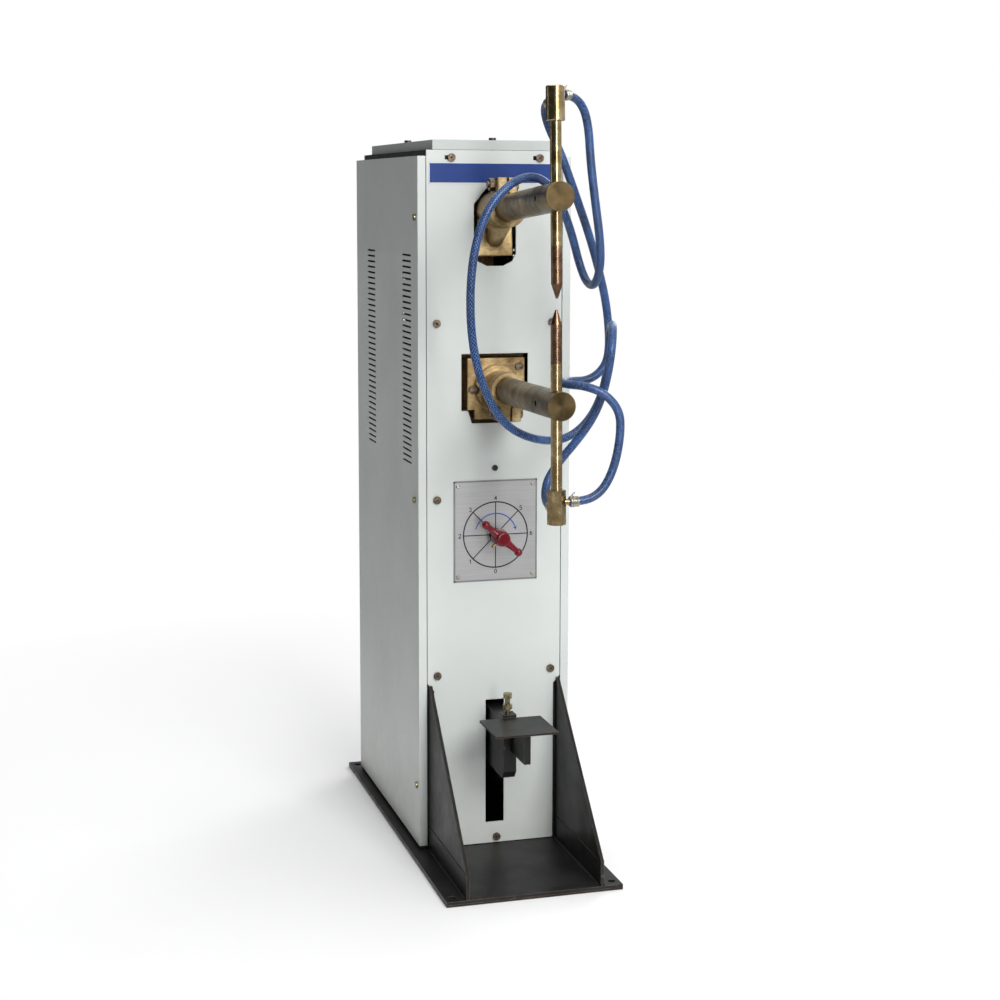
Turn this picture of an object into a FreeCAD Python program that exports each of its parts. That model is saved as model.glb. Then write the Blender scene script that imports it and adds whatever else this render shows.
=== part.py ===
import FreeCAD, Part
import math
import os
import Sketcher

# Foot-operated rocker-arm spot welder.
# Frame: +Z up, front faces -Y, X to the right. The origin is the centre of the
# four floor bolt holes, at floor level. Everything is in millimetres.

doc = FreeCAD.newDocument("SpotWelder")
os.makedirs("parts", exist_ok=True)
V = FreeCAD.Vector

# ---------------------------------------------------------------- dimensions
sheet = doc.addObject("Spreadsheet::Sheet", "Dims")
DIMS = {
    # base
    "base_half_w": 134.4, "base_half_d": 353.0, "plate_thk": 5.0, "foot_thk": 3.0,
    "foot_front_w": 80.0, "foot_rear_w": 40.0, "bolt_x": 122.0, "bolt_y": 336.0, "bolt_d": 12.0,
    "rail_in": 100.0, "rail_thk": 5.0, "rail_top": 45.0, "gusset_top": 268.0,
    # cabinet
    "front_y": -127.0, "rear_y": 317.0, "sheet_thk": 1.5, "panel_half_w": 106.5, "panel_bot": 9.0,
    "panel_top": 1085.0, "cover_half_w": 120.0, "cover_lip": 12.5, "cover_bot": 14.0,
    "cover_top": 1076.0, "cover_thk": 1.2, "notch_in": 96.0, "notch_top": 259.0,
    "lid_half_w": 97.0, "lid_rear": 298.0, "lid_bot": 1085.3, "lid_top": 1100.0,
    "louvre_len": 57.0, "louvre_gap": 3.0, "louvre_pitch": 9.1, "louvre_n": 36, "louvre_z": 607.0,
    "louvre_front_y": -82.0, "louvre_rear_y": 173.0,
    # inner frame
    "post_leg": 40.0, "post_thk": 3.0, "post_out": 117.5, "post_top": 1074.0,
    "ring_half_w": 106.0, "ring_bot": 1055.0, "ring_thk": 3.0, "ring_flange": 20.0,
    # rocker and arms
    "pivot_y": 25.0, "pivot_z": 955.0, "rocker_tilt": 4.0, "shaft_r": 12.5, "arm_r": 20.0,
    "arm_axis_up": 29.1, "upper_front": 478.2, "upper_rear": 95.0, "barrel_r": 29.0,
    "lower_z": 733.7, "lower_front_y": -461.0, "lower_rear_y": -100.0, "lower_tilt": 1.0,
    "tube_r": 8.0, "cap_r": 13.0, "cap_len": 47.0, "nut_flat": 22.5, "nut_len": 48.0,
    "tip_len": 74.0, "cone_len": 20.0,
    # pedal and push rod
    "pedal_y": 154.5, "pedal_z": 190.0, "lever_thk": 20.0, "lever_x": 1.0, "rod_y": 184.5, "rod_r": 7.0,
    "slot_w": 29.5, "slot_bot": 42.5, "slot_top": 239.5,
    # dial and knob
    "dial_x": 1.5, "dial_z": 499.6, "dial_w": 133.0, "dial_h": 157.0, "dial_mid_z": 506.0,
    "spindle_r": 5.0,
    # hoses
    "hose_r": 6.0,
}
for row, (alias, value) in enumerate(DIMS.items(), start=1):
    sheet.set("A%d" % row, alias)
    sheet.set("B%d" % row, str(value))
    sheet.setAlias("B%d" % row, alias)
doc.recompute()


def dim(alias):
    """Number behind an alias of the sheet."""
    return float(sheet.get(alias))


SUBPARTS = []


def keep(obj, label):
    """Give a finished sub-part its label and remember it for export."""
    obj.Label = label
    SUBPARTS.append(obj)
    return obj


# ---------------------------------------------------------------- part design helpers
def new_body(name):
    return doc.addObject("PartDesign::Body", name + "_body")


def plane_of(body, role):
    for feature in body.Origin.OriginFeatures:
        if feature.Role == role:
            return feature
    raise RuntimeError("no plane " + role)


def new_sketch(body, role, offset=0.0, name="sketch"):
    sketch = body.newObject("Sketcher::SketchObject", body.Name + "_" + name)
    sketch.AttachmentSupport = [(plane_of(body, role), "")]
    sketch.MapMode = "FlatFace"
    if isinstance(offset, str):
        sketch.setExpression("AttachmentOffset.Base.z", offset)
    else:
        sketch.AttachmentOffset = FreeCAD.Placement(V(0, 0, offset), FreeCAD.Rotation())
    return sketch


def draw_loop(sketch, points):
    """Closed polygon through the points, corners joined."""
    first = sketch.GeometryCount
    count = len(points)
    for i in range(count):
        a, b = points[i], points[(i + 1) % count]
        sketch.addGeometry(Part.LineSegment(V(a[0], a[1], 0), V(b[0], b[1], 0)), False)
    for i in range(count):
        sketch.addConstraint(Sketcher.Constraint("Coincident", first + i, 2, first + (i + 1) % count, 1))
    return first


def draw_rect(sketch, x0, x1, y0, y1):
    """Rectangle whose four sides follow expressions of the sheet."""
    values = [sheet_value(text) for text in (x0, x1, y0, y1)]
    a, b, c, d = values
    first = draw_loop(sketch, [(a, c), (b, c), (b, d), (a, d)])
    for i, kind in enumerate(("Horizontal", "Vertical", "Horizontal", "Vertical")):
        sketch.addConstraint(Sketcher.Constraint(kind, first + i))
    for kind, vertex_of, pos, value, text in (
            ("DistanceX", first, 1, a, x0), ("DistanceX", first, 2, b, x1),
            ("DistanceY", first, 1, c, y0), ("DistanceY", first + 2, 1, d, y1)):
        index = sketch.addConstraint(Sketcher.Constraint(kind, -1, 1, vertex_of, pos, value))
        sketch.setExpression("Constraints[%d]" % index, text)
    return first


def sheet_value(text):
    """Number that an expression over the sheet gives."""
    total = sheet.evalExpression(text.replace("Dims.", ""))
    return float(getattr(total, "Value", total))


def draw_circle(sketch, x, y, radius):
    sketch.addGeometry(Part.Circle(V(x, y, 0), V(0, 0, 1), radius), False)
    index = sketch.addConstraint(Sketcher.Constraint("Radius", sketch.GeometryCount - 1, radius))
    return index


def add_pad(body, sketch, length, reverse=False, both=False):
    pad = body.newObject("PartDesign::Pad", sketch.Name + "_pad")
    pad.Profile = sketch
    if isinstance(length, str):
        pad.setExpression("Length", length)
    else:
        pad.Length = length
    pad.Reversed = reverse
    pad.Midplane = both
    return pad


def add_pocket(body, sketch, length=None, reverse=False, both=False):
    """Cut and check that material really went away."""
    doc.recompute()
    before = body.Shape.Volume
    pocket = body.newObject("PartDesign::Pocket", sketch.Name + "_pocket")
    pocket.Profile = sketch
    if length is None:
        pocket.Type = 1
    elif isinstance(length, str):
        pocket.setExpression("Length", length)
    else:
        pocket.Length = length
    pocket.Reversed = reverse
    pocket.Midplane = both
    doc.recompute()
    if body.Shape.Volume > before - 0.5:
        raise RuntimeError("pocket cut nothing: " + sketch.Name)
    return pocket


def add_revolution(body, sketch, axis="V_Axis"):
    turn = body.newObject("PartDesign::Revolution", sketch.Name + "_rev")
    turn.Profile = sketch
    turn.ReferenceAxis = (sketch, [axis])
    turn.Angle = 360.0
    return turn


def turned(name, outline):
    """Body turned about its own Z axis from (radius, height) points."""
    body = new_body(name)
    sketch = new_sketch(body, "XZ_Plane")
    draw_loop(sketch, outline)
    add_revolution(body, sketch)
    doc.recompute()
    return body


def place(obj, base=V(0, 0, 0), axis=V(0, 0, 1), angle=0.0, centre=V(0, 0, 0)):
    obj.Placement = FreeCAD.Placement(base, FreeCAD.Rotation(axis, angle), centre)
    return obj


# ---------------------------------------------------------------- part workbench helpers
def primitive(kind, name, sizes, base=(0, 0, 0), axis=None, angle=0.0):
    """Part primitive with expression or number sizes and position."""
    obj = doc.addObject("Part::" + kind, name)
    for key, value in sizes.items():
        if isinstance(value, str):
            obj.setExpression(key, value)
        else:
            setattr(obj, key, value)
    spot = [sheet_value(c) if isinstance(c, str) else float(c) for c in base]
    turn = FreeCAD.Rotation(axis, angle) if axis is not None else FreeCAD.Rotation()
    obj.Placement = FreeCAD.Placement(V(*spot), turn)
    if axis is None:
        for key, value in zip("xyz", base):
            if isinstance(value, str):
                obj.setExpression("Placement.Base." + key, value)
    return obj


def box(name, x0, x1, y0, y1, z0, z1):
    """Box between limits, each a number or an expression."""
    def text(value):
        return value if isinstance(value, str) else repr(float(value))

    sizes = {}
    for key, low, high in (("Length", x0, x1), ("Width", y0, y1), ("Height", z0, z1)):
        if isinstance(low, str) or isinstance(high, str):
            sizes[key] = "(%s) - (%s)" % (text(high), text(low))
        else:
            sizes[key] = high - low
    return primitive("Box", name, sizes, (x0, y0, z0))


def rod(name, radius, start, end):
    """Cylinder from start to end."""
    a, b = V(*start), V(*end)
    obj = doc.addObject("Part::Cylinder", name)
    if isinstance(radius, str):
        obj.setExpression("Radius", radius)
    else:
        obj.Radius = radius
    obj.Height = (b - a).Length
    obj.Placement = FreeCAD.Placement(a, FreeCAD.Rotation(V(0, 0, 1), b - a))
    return obj


def cone(name, r0, r1, start, end):
    a, b = V(*start), V(*end)
    obj = doc.addObject("Part::Cone", name)
    obj.Radius1 = r0
    obj.Radius2 = r1
    obj.Height = (b - a).Length
    obj.Placement = FreeCAD.Placement(a, FreeCAD.Rotation(V(0, 0, 1), b - a))
    return obj


def fuse(name, shapes):
    obj = doc.addObject("Part::MultiFuse", name)
    obj.Shapes = shapes
    obj.Refine = True
    return obj


def cut(name, solid, tools):
    tool = tools[0] if len(tools) == 1 else fuse(name + "_tools", tools)
    obj = doc.addObject("Part::Cut", name)
    obj.Base = solid
    obj.Tool = tool
    return obj


def group(name, shapes):
    obj = doc.addObject("Part::Compound", name)
    obj.Links = shapes
    return obj


def tilt_upper(obj):
    """Carry a piece drawn with a level arm about the pivot into the open position."""
    turn = FreeCAD.Rotation(V(1, 0, 0), -dim("rocker_tilt"))
    obj.Placement = FreeCAD.Placement(V(0, dim("pivot_y"), dim("pivot_z")), turn).multiply(obj.Placement)
    return obj


def upper_point(y, z):
    """Row-frame point of a spot drawn in the level rocker frame."""
    turn = FreeCAD.Rotation(V(1, 0, 0), -dim("rocker_tilt"))
    spot = turn.multVec(V(0, y, z))
    return V(0, spot.y + dim("pivot_y"), spot.z + dim("pivot_z"))


FRONT = dim("front_y")
REAR = dim("rear_y")
BASE_TOP = dim("foot_thk") + dim("plate_thk")
SHEET = dim("sheet_thk")
SKIN_BACK = FRONT + SHEET
POST_IN = dim("post_out") - dim("post_leg")
PY = dim("pivot_y")
PZ = dim("pivot_z")

# ================================================================ base
base = new_body("base_plate")
sk = new_sketch(base, "XY_Plane", "Dims.foot_thk")
draw_rect(sk, "-Dims.base_half_w", "Dims.base_half_w", "-Dims.base_half_d", "Dims.base_half_d")
add_pad(base, sk, "Dims.plate_thk")
sk = new_sketch(base, "XY_Plane", "Dims.foot_thk", "holes")
for sx in (-1, 1):
    for sy in (-1, 1):
        draw_circle(sk, sx * dim("bolt_x"), sy * dim("bolt_y"), dim("bolt_d") / 2)
add_pocket(base, sk, "Dims.plate_thk", reverse=True)
keep(base, "base_plate")

foot_bars = []
for end, sy in (("front", -1), ("rear", 1)):
    width = "Dims.foot_%s_w" % end
    if sy < 0:
        bar = box("bar_" + end, "-Dims.base_half_w", "Dims.base_half_w", "-Dims.base_half_d",
                  "-Dims.base_half_d + " + width, 0, "Dims.foot_thk")
    else:
        bar = box("bar_" + end, "-Dims.base_half_w", "Dims.base_half_w", "Dims.base_half_d - " + width,
                  "Dims.base_half_d", 0, "Dims.foot_thk")
    holes = [rod("bar_hole_%s_%d" % (end, i), "Dims.bolt_d / 2", (sx * dim("bolt_x"), sy * dim("bolt_y"), -1),
                 (sx * dim("bolt_x"), sy * dim("bolt_y"), 5)) for i, sx in enumerate((-1, 1))]
    foot_bars.append(cut("foot_bar_" + end, bar, holes))
keep(group("foot_bar_pair", foot_bars), "foot_bars")

for side, sx in (("left", -1), ("right", 1)):
    # each gusset is an upright bar on the base with a triangular plate welded along its top
    x_low = "-Dims.rail_in - Dims.rail_thk" if sx < 0 else "Dims.rail_in"
    x_high = "-Dims.rail_in" if sx < 0 else "Dims.rail_in + Dims.rail_thk"
    foot_rail = box("rail_" + side, x_low, x_high, "-Dims.base_half_d + 1", "Dims.front_y + Dims.sheet_thk",
                    "Dims.foot_thk + Dims.plate_thk", "Dims.rail_top")
    gusset = new_body("gusset_" + side)
    sk = new_sketch(gusset, "YZ_Plane", x_low)
    draw_loop(sk, [(1 - dim("base_half_d"), dim("rail_top")), (SKIN_BACK, dim("rail_top")),
                   (SKIN_BACK, dim("notch_top") - 2), (FRONT - 0.4, dim("notch_top") - 2),
                   (FRONT - 0.4, dim("gusset_top")), (FRONT - 5, dim("gusset_top"))])
    add_pad(gusset, sk, "Dims.rail_thk")
    keep(group("gusset_pair_" + side, [foot_rail, gusset]), "gusset_" + side)

# ================================================================ inner frame
SCREW_R = 3.0
PANEL_SCREWS = [(-91, 283), (91, 283), (-91, 557), (91, 557), (-91, 826), (91, 826)]
TOP_SCREWS = [(-68, 1074), (70, 1074)]
SILL_SCREW = (4, 18.5)
SIDE_SCREWS = [(-113, 985), (-105, 555), (-113, 108)]

posts = []
for end, y_out, sy in (("front", SKIN_BACK, 1), ("rear", REAR - SHEET, -1)):
    for side, sx in (("left", -1), ("right", 1)):
        post = new_body("post_%s_%s" % (end, side))
        sk = new_sketch(post, "XY_Plane", "Dims.foot_thk + Dims.plate_thk")
        xo, xi, t = sx * dim("post_out"), sx * POST_IN, dim("post_thk")
        y_in = y_out + sy * dim("post_leg")
        draw_loop(sk, [(xo, y_out), (xi, y_out), (xi, y_out + sy * t), (xo - sx * t, y_out + sy * t),
                       (xo - sx * t, y_in), (xo, y_in)])
        add_pad(post, sk, "Dims.post_top - Dims.foot_thk - Dims.plate_thk")
        if end == "front":
            sk = new_sketch(post, "XZ_Plane", -FRONT, "screws")
            for x, z in PANEL_SCREWS:
                if x * sx > 0:
                    draw_circle(sk, x, z, SCREW_R + 0.1)
            add_pocket(post, sk, 6.0)
            sk = new_sketch(post, "YZ_Plane", xo, "side_screws")
            for y, z in SIDE_SCREWS:
                draw_circle(sk, y, z, SCREW_R + 0.1)
            add_pocket(post, sk, 8.0, both=True)
        posts.append(post)
keep(group("posts", posts), "corner_posts")

ring = new_body("top_frame")
sk = new_sketch(ring, "XY_Plane", "Dims.ring_bot")
y0, y1 = SKIN_BACK + dim("post_thk"), REAR - SHEET - dim("post_thk")
draw_rect(sk, "-Dims.ring_half_w", "Dims.ring_half_w", repr(y0), repr(y1))
draw_rect(sk, "-Dims.ring_half_w + Dims.ring_thk", "Dims.ring_half_w - Dims.ring_thk",
          "%r + Dims.ring_thk" % y0, "%r - Dims.ring_thk" % y1)
add_pad(ring, sk, "Dims.panel_top - Dims.ring_bot")
sk = new_sketch(ring, "XY_Plane", "Dims.panel_top", "flange")
draw_rect(sk, "-Dims.ring_half_w", "Dims.ring_half_w", repr(y0), repr(y1))
draw_rect(sk, "-Dims.ring_half_w + Dims.ring_flange", "Dims.ring_half_w - Dims.ring_flange",
          "%r + Dims.ring_flange" % y0, "%r - Dims.ring_flange" % y1)
add_pad(ring, sk, "Dims.ring_thk", reverse=True)
sk = new_sketch(ring, "XZ_Plane", -y0, "screws")
for x, z in TOP_SCREWS:
    draw_circle(sk, x, z, SCREW_R + 0.1)
add_pocket(ring, sk, 5.0, both=True)
LID_SCREWS = [(-88, 70), (88, 70), (0, -112), (0, 288)]
sk = new_sketch(ring, "XY_Plane", "Dims.panel_top", "lid_screws")
for x, y in LID_SCREWS:
    draw_circle(sk, x, y, SCREW_R + 0.1)
add_pocket(ring, sk, 4.0)
keep(ring, "top_frame")

sill = box("sill_bar", -POST_IN, POST_IN, SKIN_BACK, SKIN_BACK + 3, BASE_TOP, 36)
sill_hole = rod("sill_hole", SCREW_R + 0.1, (SILL_SCREW[0], SKIN_BACK - 1, SILL_SCREW[1]),
                (SILL_SCREW[0], SKIN_BACK + 5, SILL_SCREW[1]))
beams = [cut("front_sill", sill, [sill_hole])]

# front-to-back rails inside the posts and the cross beams that they carry
RAIL_X = dim("post_out") - dim("post_thk")
RAIL_Y0, RAIL_Y1 = SKIN_BACK + dim("post_thk"), REAR - SHEET - dim("post_thk")
rails = []
for label, z0, z1 in (("upper", 840, 880), ("middle", 490, 530)):
    rails += [box("rail_%s_%d" % (label, sx), min(sx * RAIL_X, sx * (RAIL_X - 5)),
                 max(sx * RAIL_X, sx * (RAIL_X - 5)), RAIL_Y0, RAIL_Y1, z0, z1) for sx in (-1, 1)]
keep(group("rails", rails), "side_rails")

BEAM_X = RAIL_X - 5
beams.append(box("pivot_beam", -BEAM_X, BEAM_X, PY - 35, PY + 35, 868, 876))
beams.append(box("transformer_shelf", -BEAM_X, BEAM_X, -42, 130, 514, 522))
beams.append(box("spring_beam", -BEAM_X, BEAM_X, -32, -8, 490, 498))
beams.append(box("spring_bar", -BEAM_X, BEAM_X, 136, 160, 842, 850))

# pivot bracket: two cheeks on a foot, bored for the rocker shaft
CHEEK = 44.0
foot = box("pb_foot", -CHEEK - 10, CHEEK + 10, PY - 30, PY + 30, 876, 886)
cheeks = [box("pb_cheek_%d" % sx, min(sx * CHEEK, sx * (CHEEK + 10)), max(sx * CHEEK, sx * (CHEEK + 10)),
              PY - 25, PY + 25, 880, PZ) for sx in (-1, 1)]
caps = [rod("pb_round_%d" % sx, 25, (sx * CHEEK, PY, PZ), (sx * (CHEEK + 10), PY, PZ)) for sx in (-1, 1)]
bracket = fuse("pb_body", [foot] + cheeks + caps)
bore = rod("pb_bore", "Dims.shaft_r", (-70, PY, PZ), (70, PY, PZ))
keep(cut("pivot_bracket", bracket, [bore]), "pivot_bracket")
keep(rod("rocker_shaft", "Dims.shaft_r", (-62, PY, PZ), (62, PY, PZ)), "rocker_shaft")

# ================================================================ front panel
panel = new_body("front_panel")
sk = new_sketch(panel, "XZ_Plane", -FRONT)
w, nx, nz = dim("panel_half_w"), dim("notch_in"), dim("notch_top")
draw_loop(sk, [(-nx, dim("panel_bot")), (nx, dim("panel_bot")), (nx, nz), (w, nz + 12), (w, dim("panel_top")),
               (-w, dim("panel_top")), (-w, nz + 12), (-nx, nz)])
# opening for the rocking upper holder
draw_loop(sk, [(-13, 912), (13, 912), (27, 919), (33, 930), (33, 1005), (12, 1030), (-12, 1030),
               (-33, 1005), (-33, 930), (-27, 919)])
# opening for the fixed lower holder, with its two clipped corners
draw_loop(sk, [(-36, 673), (36, 673), (42, 692.5), (52.5, 692.5), (52.5, 779), (-52.5, 779), (-52.5, 692.5),
               (-42, 692.5)])
sw = dim("slot_w") / 2
lx = dim("lever_x")
draw_loop(sk, [(lx - sw, dim("slot_bot")), (lx + sw, dim("slot_bot")), (lx + sw, dim("slot_top")),
               (lx - sw, dim("slot_top"))])
for x, z in PANEL_SCREWS + [SILL_SCREW]:
    draw_circle(sk, x, z, SCREW_R + 0.1)
for x, z in TOP_SCREWS:
    draw_loop(sk, [(x - 10, z - 3.1), (x + 3.2, z - 3.1), (x + 3.2, z + 3.1), (x - 10, z + 3.1)])
draw_circle(sk, dim("dial_x"), dim("dial_z"), 8.0)
draw_circle(sk, 0.7, 603.3, 3.6)
add_pad(panel, sk, "Dims.sheet_thk", reverse=True)
keep(panel, "front_panel")

rear = new_body("rear_panel")
sk = new_sketch(rear, "XZ_Plane", -REAR)
draw_rect(sk, "-Dims.panel_half_w", "Dims.panel_half_w", "Dims.panel_bot", "Dims.panel_top")
draw_circle(sk, 50, 120, 10.1)
for row in range(6):
    draw_loop(sk, [(-60, 800 + 14 * row), (60, 800 + 14 * row), (60, 804 + 14 * row), (-60, 804 + 14 * row)])
REAR_SCREWS = [(-91, 60), (91, 60), (-91, 540), (91, 540), (-91, 1040), (91, 1040)]
for x, z in REAR_SCREWS:
    draw_circle(sk, x, z, SCREW_R + 0.1)
add_pad(rear, sk, "Dims.sheet_thk")
keep(rear, "rear_panel")

# ================================================================ side covers
for side, sx in (("left", -1), ("right", 1)):
    cover = new_body("side_cover_" + side)
    xo = sx * dim("cover_half_w")
    t = sx * dim("cover_thk")
    lip = xo - sx * dim("cover_lip")
    thk = dim("cover_thk")
    sk = new_sketch(cover, "XY_Plane", "Dims.cover_bot")
    draw_loop(sk, [(lip, FRONT), (xo, FRONT), (xo, REAR), (lip, REAR), (lip, REAR - thk), (xo - t, REAR - thk),
                   (xo - t, FRONT + thk), (lip, FRONT + thk)])
    add_pad(cover, sk, "Dims.cover_top - Dims.cover_bot")
    sk = new_sketch(cover, "XY_Plane", "Dims.cover_top", "top_lip")
    draw_loop(sk, [(lip, FRONT), (xo, FRONT), (xo, REAR), (lip, REAR)])
    add_pad(cover, sk, "Dims.cover_thk", reverse=True)
    sk = new_sketch(cover, "YZ_Plane", xo, "screws")
    for y, z in SIDE_SCREWS:
        draw_circle(sk, y, z, SCREW_R + 0.1)
    add_pocket(cover, sk, 6.0, both=True)
    for column in ("front", "rear"):
        sk = new_sketch(cover, "YZ_Plane", xo, "louvre_" + column)
        start = "Dims.louvre_%s_y" % column
        draw_rect(sk, start, start + " + Dims.louvre_len", "Dims.louvre_z", "Dims.louvre_z + Dims.louvre_gap")
        slot = add_pocket(cover, sk, 6.0, both=True)
        before = cover.Shape.Volume
        rows = cover.newObject("PartDesign::LinearPattern", "louvres_%s_%s" % (column, side))
        rows.Originals = [slot]
        rows.Direction = (sk, ["V_Axis"])
        rows.setExpression("Length", "Dims.louvre_pitch * (Dims.louvre_n - 1)")
        rows.setExpression("Occurrences", "Dims.louvre_n")
        cover.Tip = rows
        doc.recompute()
        if cover.Shape.Volume > before - 100:
            raise RuntimeError("louvre pattern cut nothing")
    keep(cover, "side_cover_" + side)

lid = new_body("top_cover")
sk = new_sketch(lid, "XY_Plane", "Dims.lid_bot")
draw_rect(sk, "-Dims.lid_half_w", "Dims.lid_half_w", "Dims.front_y", "Dims.lid_rear")
add_pad(lid, sk, "Dims.lid_top - Dims.lid_bot")
sk = new_sketch(lid, "XY_Plane", "Dims.lid_bot", "inside")
draw_rect(sk, "-Dims.lid_half_w + Dims.sheet_thk", "Dims.lid_half_w - Dims.sheet_thk",
          "Dims.front_y + Dims.sheet_thk", "Dims.lid_rear - Dims.sheet_thk")
add_pocket(lid, sk, "Dims.lid_top - Dims.lid_bot - Dims.sheet_thk", reverse=True)
sk = new_sketch(lid, "XY_Plane", "Dims.lid_top", "screws")
for x, y in LID_SCREWS:
    draw_circle(sk, x, y, SCREW_R + 0.1)
add_pocket(lid, sk, 3.0)
keep(lid, "top_cover")


# ================================================================ screws, rivets, labels
def pan_screw(name, point, direction, length, head_r=6.0, head_h=3.6):
    """Pan head screw; the head stands on the surface at point and faces direction."""
    p, d = V(*point), V(*direction)
    head = rod(name + "_head", head_r, p, p + d * head_h)
    shank = rod(name + "_shank", SCREW_R, p + d * 1.0, p - d * length)
    return fuse(name, [head, shank])


screws = [pan_screw("ps_%d" % i, (x, FRONT, z), (0, -1, 0), 7) for i, (x, z) in
          enumerate(PANEL_SCREWS + TOP_SCREWS + [SILL_SCREW])]
screws += [pan_screw("rs_%d" % i, (x, REAR, z), (0, 1, 0), 1.4) for i, (x, z) in enumerate(REAR_SCREWS)]
screws += [pan_screw("ls_%d" % i, (x, y, dim("lid_top")), (0, 0, 1), 20, 5.5, 4.0)
           for i, (x, y) in enumerate(LID_SCREWS)]
keep(group("panel_screws", screws), "panel_screws")
screws = []
for side, sx in (("left", -1), ("right", 1)):
    screws += [pan_screw("ss_%s_%d" % (side, i), (sx * dim("cover_half_w"), y, z), (sx, 0, 0), 8, 5.0, 3.4)
               for i, (y, z) in enumerate(SIDE_SCREWS)]
keep(group("side_screws", screws), "side_screws")
keep(fuse("hole_plug", [rod("plug_head", 4.6, (0.7, FRONT, 603.3), (0.7, FRONT - 1.2, 603.3)),
                        rod("plug_stem", 3.5, (0.7, FRONT, 603.3), (0.7, FRONT + 6, 603.3))]), "hole_plug")
keep(box("name_band", -102.5, 102.5, FRONT - 0.5, FRONT, 1035.5, 1066.5), "name_band")

plate = new_body("dial_plate")
sk = new_sketch(plate, "XZ_Plane", -FRONT)
draw_rect(sk, "Dims.dial_x - Dims.dial_w / 2", "Dims.dial_x + Dims.dial_w / 2",
          "Dims.dial_mid_z - Dims.dial_h / 2", "Dims.dial_mid_z + Dims.dial_h / 2")
draw_circle(sk, dim("dial_x"), dim("dial_z"), 8.0)
add_pad(plate, sk, 1.0)
keep(plate, "dial_plate")
rivets = []
for i, (sx, sz) in enumerate(((-1, -1), (1, -1), (-1, 1), (1, 1))):
    x = dim("dial_x") + sx * (dim("dial_w") / 2 - 7)
    z = dim("dial_mid_z") + sz * (dim("dial_h") / 2 - 8)
    rivets.append(cone("rivet_%d" % i, 3.2, 2.0, (x, FRONT - 1.0, z), (x, FRONT - 2.6, z)))
keep(group("dial_rivets", rivets), "dial_rivets")

# ================================================================ heat switch and its knob
DX, DZ = dim("dial_x"), dim("dial_z")
switch = fuse("switch_all", [rod("switch_drum", 44, (DX, SKIN_BACK + 22, DZ), (DX, SKIN_BACK + 80, DZ)),
                             box("switch_plate", DX - 50, DX + 50, SKIN_BACK + 18, SKIN_BACK + 22,
                                 DZ - 50, DZ + 8)])
switch_bore = rod("switch_bore", 5.05, (DX, SKIN_BACK + 10, DZ), (DX, SKIN_BACK + 60, DZ))
keep(cut("tap_switch", switch, [switch_bore]), "tap_switch")
beams.append(box("switch_bar", -RAIL_X, RAIL_X, SKIN_BACK + 12, SKIN_BACK + 18, DZ - 45, DZ - 15))
keep(group("beams", beams), "cross_beams")
keep(rod("knob_spindle", "Dims.spindle_r", (DX, FRONT - 41, DZ), (DX, SKIN_BACK + 55, DZ)), "knob_spindle")
# two tapered arms with ball ends on a round hub, pointing at 3 on the dial
KNOB_ANGLE = 139.0
ux, uz = math.cos(math.radians(KNOB_ANGLE)), math.sin(math.radians(KNOB_ANGLE))
KY = FRONT - 38
hub = cone("hub", 13.5, 11.0, (DX, FRONT - 23, DZ), (DX, FRONT - 47, DZ))
arms = []
for s in (-1, 1):
    arms.append(cone("knob_arm_%d" % s, 7.0, 4.2, (DX, KY, DZ), (DX + s * 34 * ux, KY, DZ + s * 34 * uz)))
    ball = primitive("Sphere", "knob_ball_%d" % s, {"Radius": 6.3}, (DX + s * 34 * ux, KY, DZ + s * 34 * uz))
    arms.append(ball)
knob = fuse("knob_all", [hub] + arms)
GRUB_Y = FRONT - 29
grub_near = (DX - 5.0 * uz, GRUB_Y, DZ + 5.0 * ux)
grub_hole = rod("grub_hole", 2.55, grub_near, (DX - 18 * uz, GRUB_Y, DZ + 18 * ux))
knob_bore = rod("knob_bore", "Dims.spindle_r", (DX, FRONT, DZ), (DX, FRONT - 41, DZ))
keep(cut("knob", knob, [knob_bore, grub_hole]), "knob")
keep(rod("knob_grub", 2.5, grub_near, (DX - 20 * uz, GRUB_Y, DZ + 20 * ux)), "knob_grub_screw")

# ================================================================ lower holder, arm, electrode
LZ0 = dim("lower_z")
LTILT = math.radians(dim("lower_tilt"))
LFY = dim("lower_front_y")


def lower_axis(y):
    """Point of the lower arm axis at depth y; the arm rises a little to the front."""
    return (0, y, LZ0 - (y - LFY) * math.tan(LTILT))


BLOCK_F, BLOCK_R = -135.0, -98.0
block = new_body("lower_block")
sk = new_sketch(block, "XZ_Plane", -BLOCK_F)
draw_loop(sk, [(-34, 680), (34, 680), (34, 694.5), (45, 694.5), (45, 773), (-45, 773), (-45, 694.5),
               (-34, 694.5)])
add_pad(block, sk, BLOCK_R - BLOCK_F, reverse=True)
doc.recompute()
boss = rod("low_boss", 35, lower_axis(-150), lower_axis(-115))
barrel = rod("low_barrel", 27, lower_axis(-204), lower_axis(-115))
EAR_X = 5.0
ear_z = lower_axis(-165)[2]
ears = box("low_ears", EAR_X - 17, EAR_X + 15, -200, -152, ear_z - 46, ear_z - 15)
holder = fuse("low_holder_all", [block, boss, barrel, ears])
tools = [rod("low_bore", 20.05, lower_axis(-220), lower_axis(-90)),
         box("low_slit", EAR_X - 1.2, EAR_X + 1.2, -210, -150.5, ear_z - 50, ear_z - 15),
         rod("low_bolt_hole", 5.05, (EAR_X - 30, -180, ear_z - 34), (EAR_X + 30, -180, ear_z - 34))]
LOW_SCREWS = [(-37, 726), (36, 700), (36, 760)]
for i, (x, z) in enumerate(LOW_SCREWS):
    tools.append(rod("low_fix_%d" % i, 5.1, (x, BLOCK_F - 1, z), (x, BLOCK_R + 1, z)))
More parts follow.
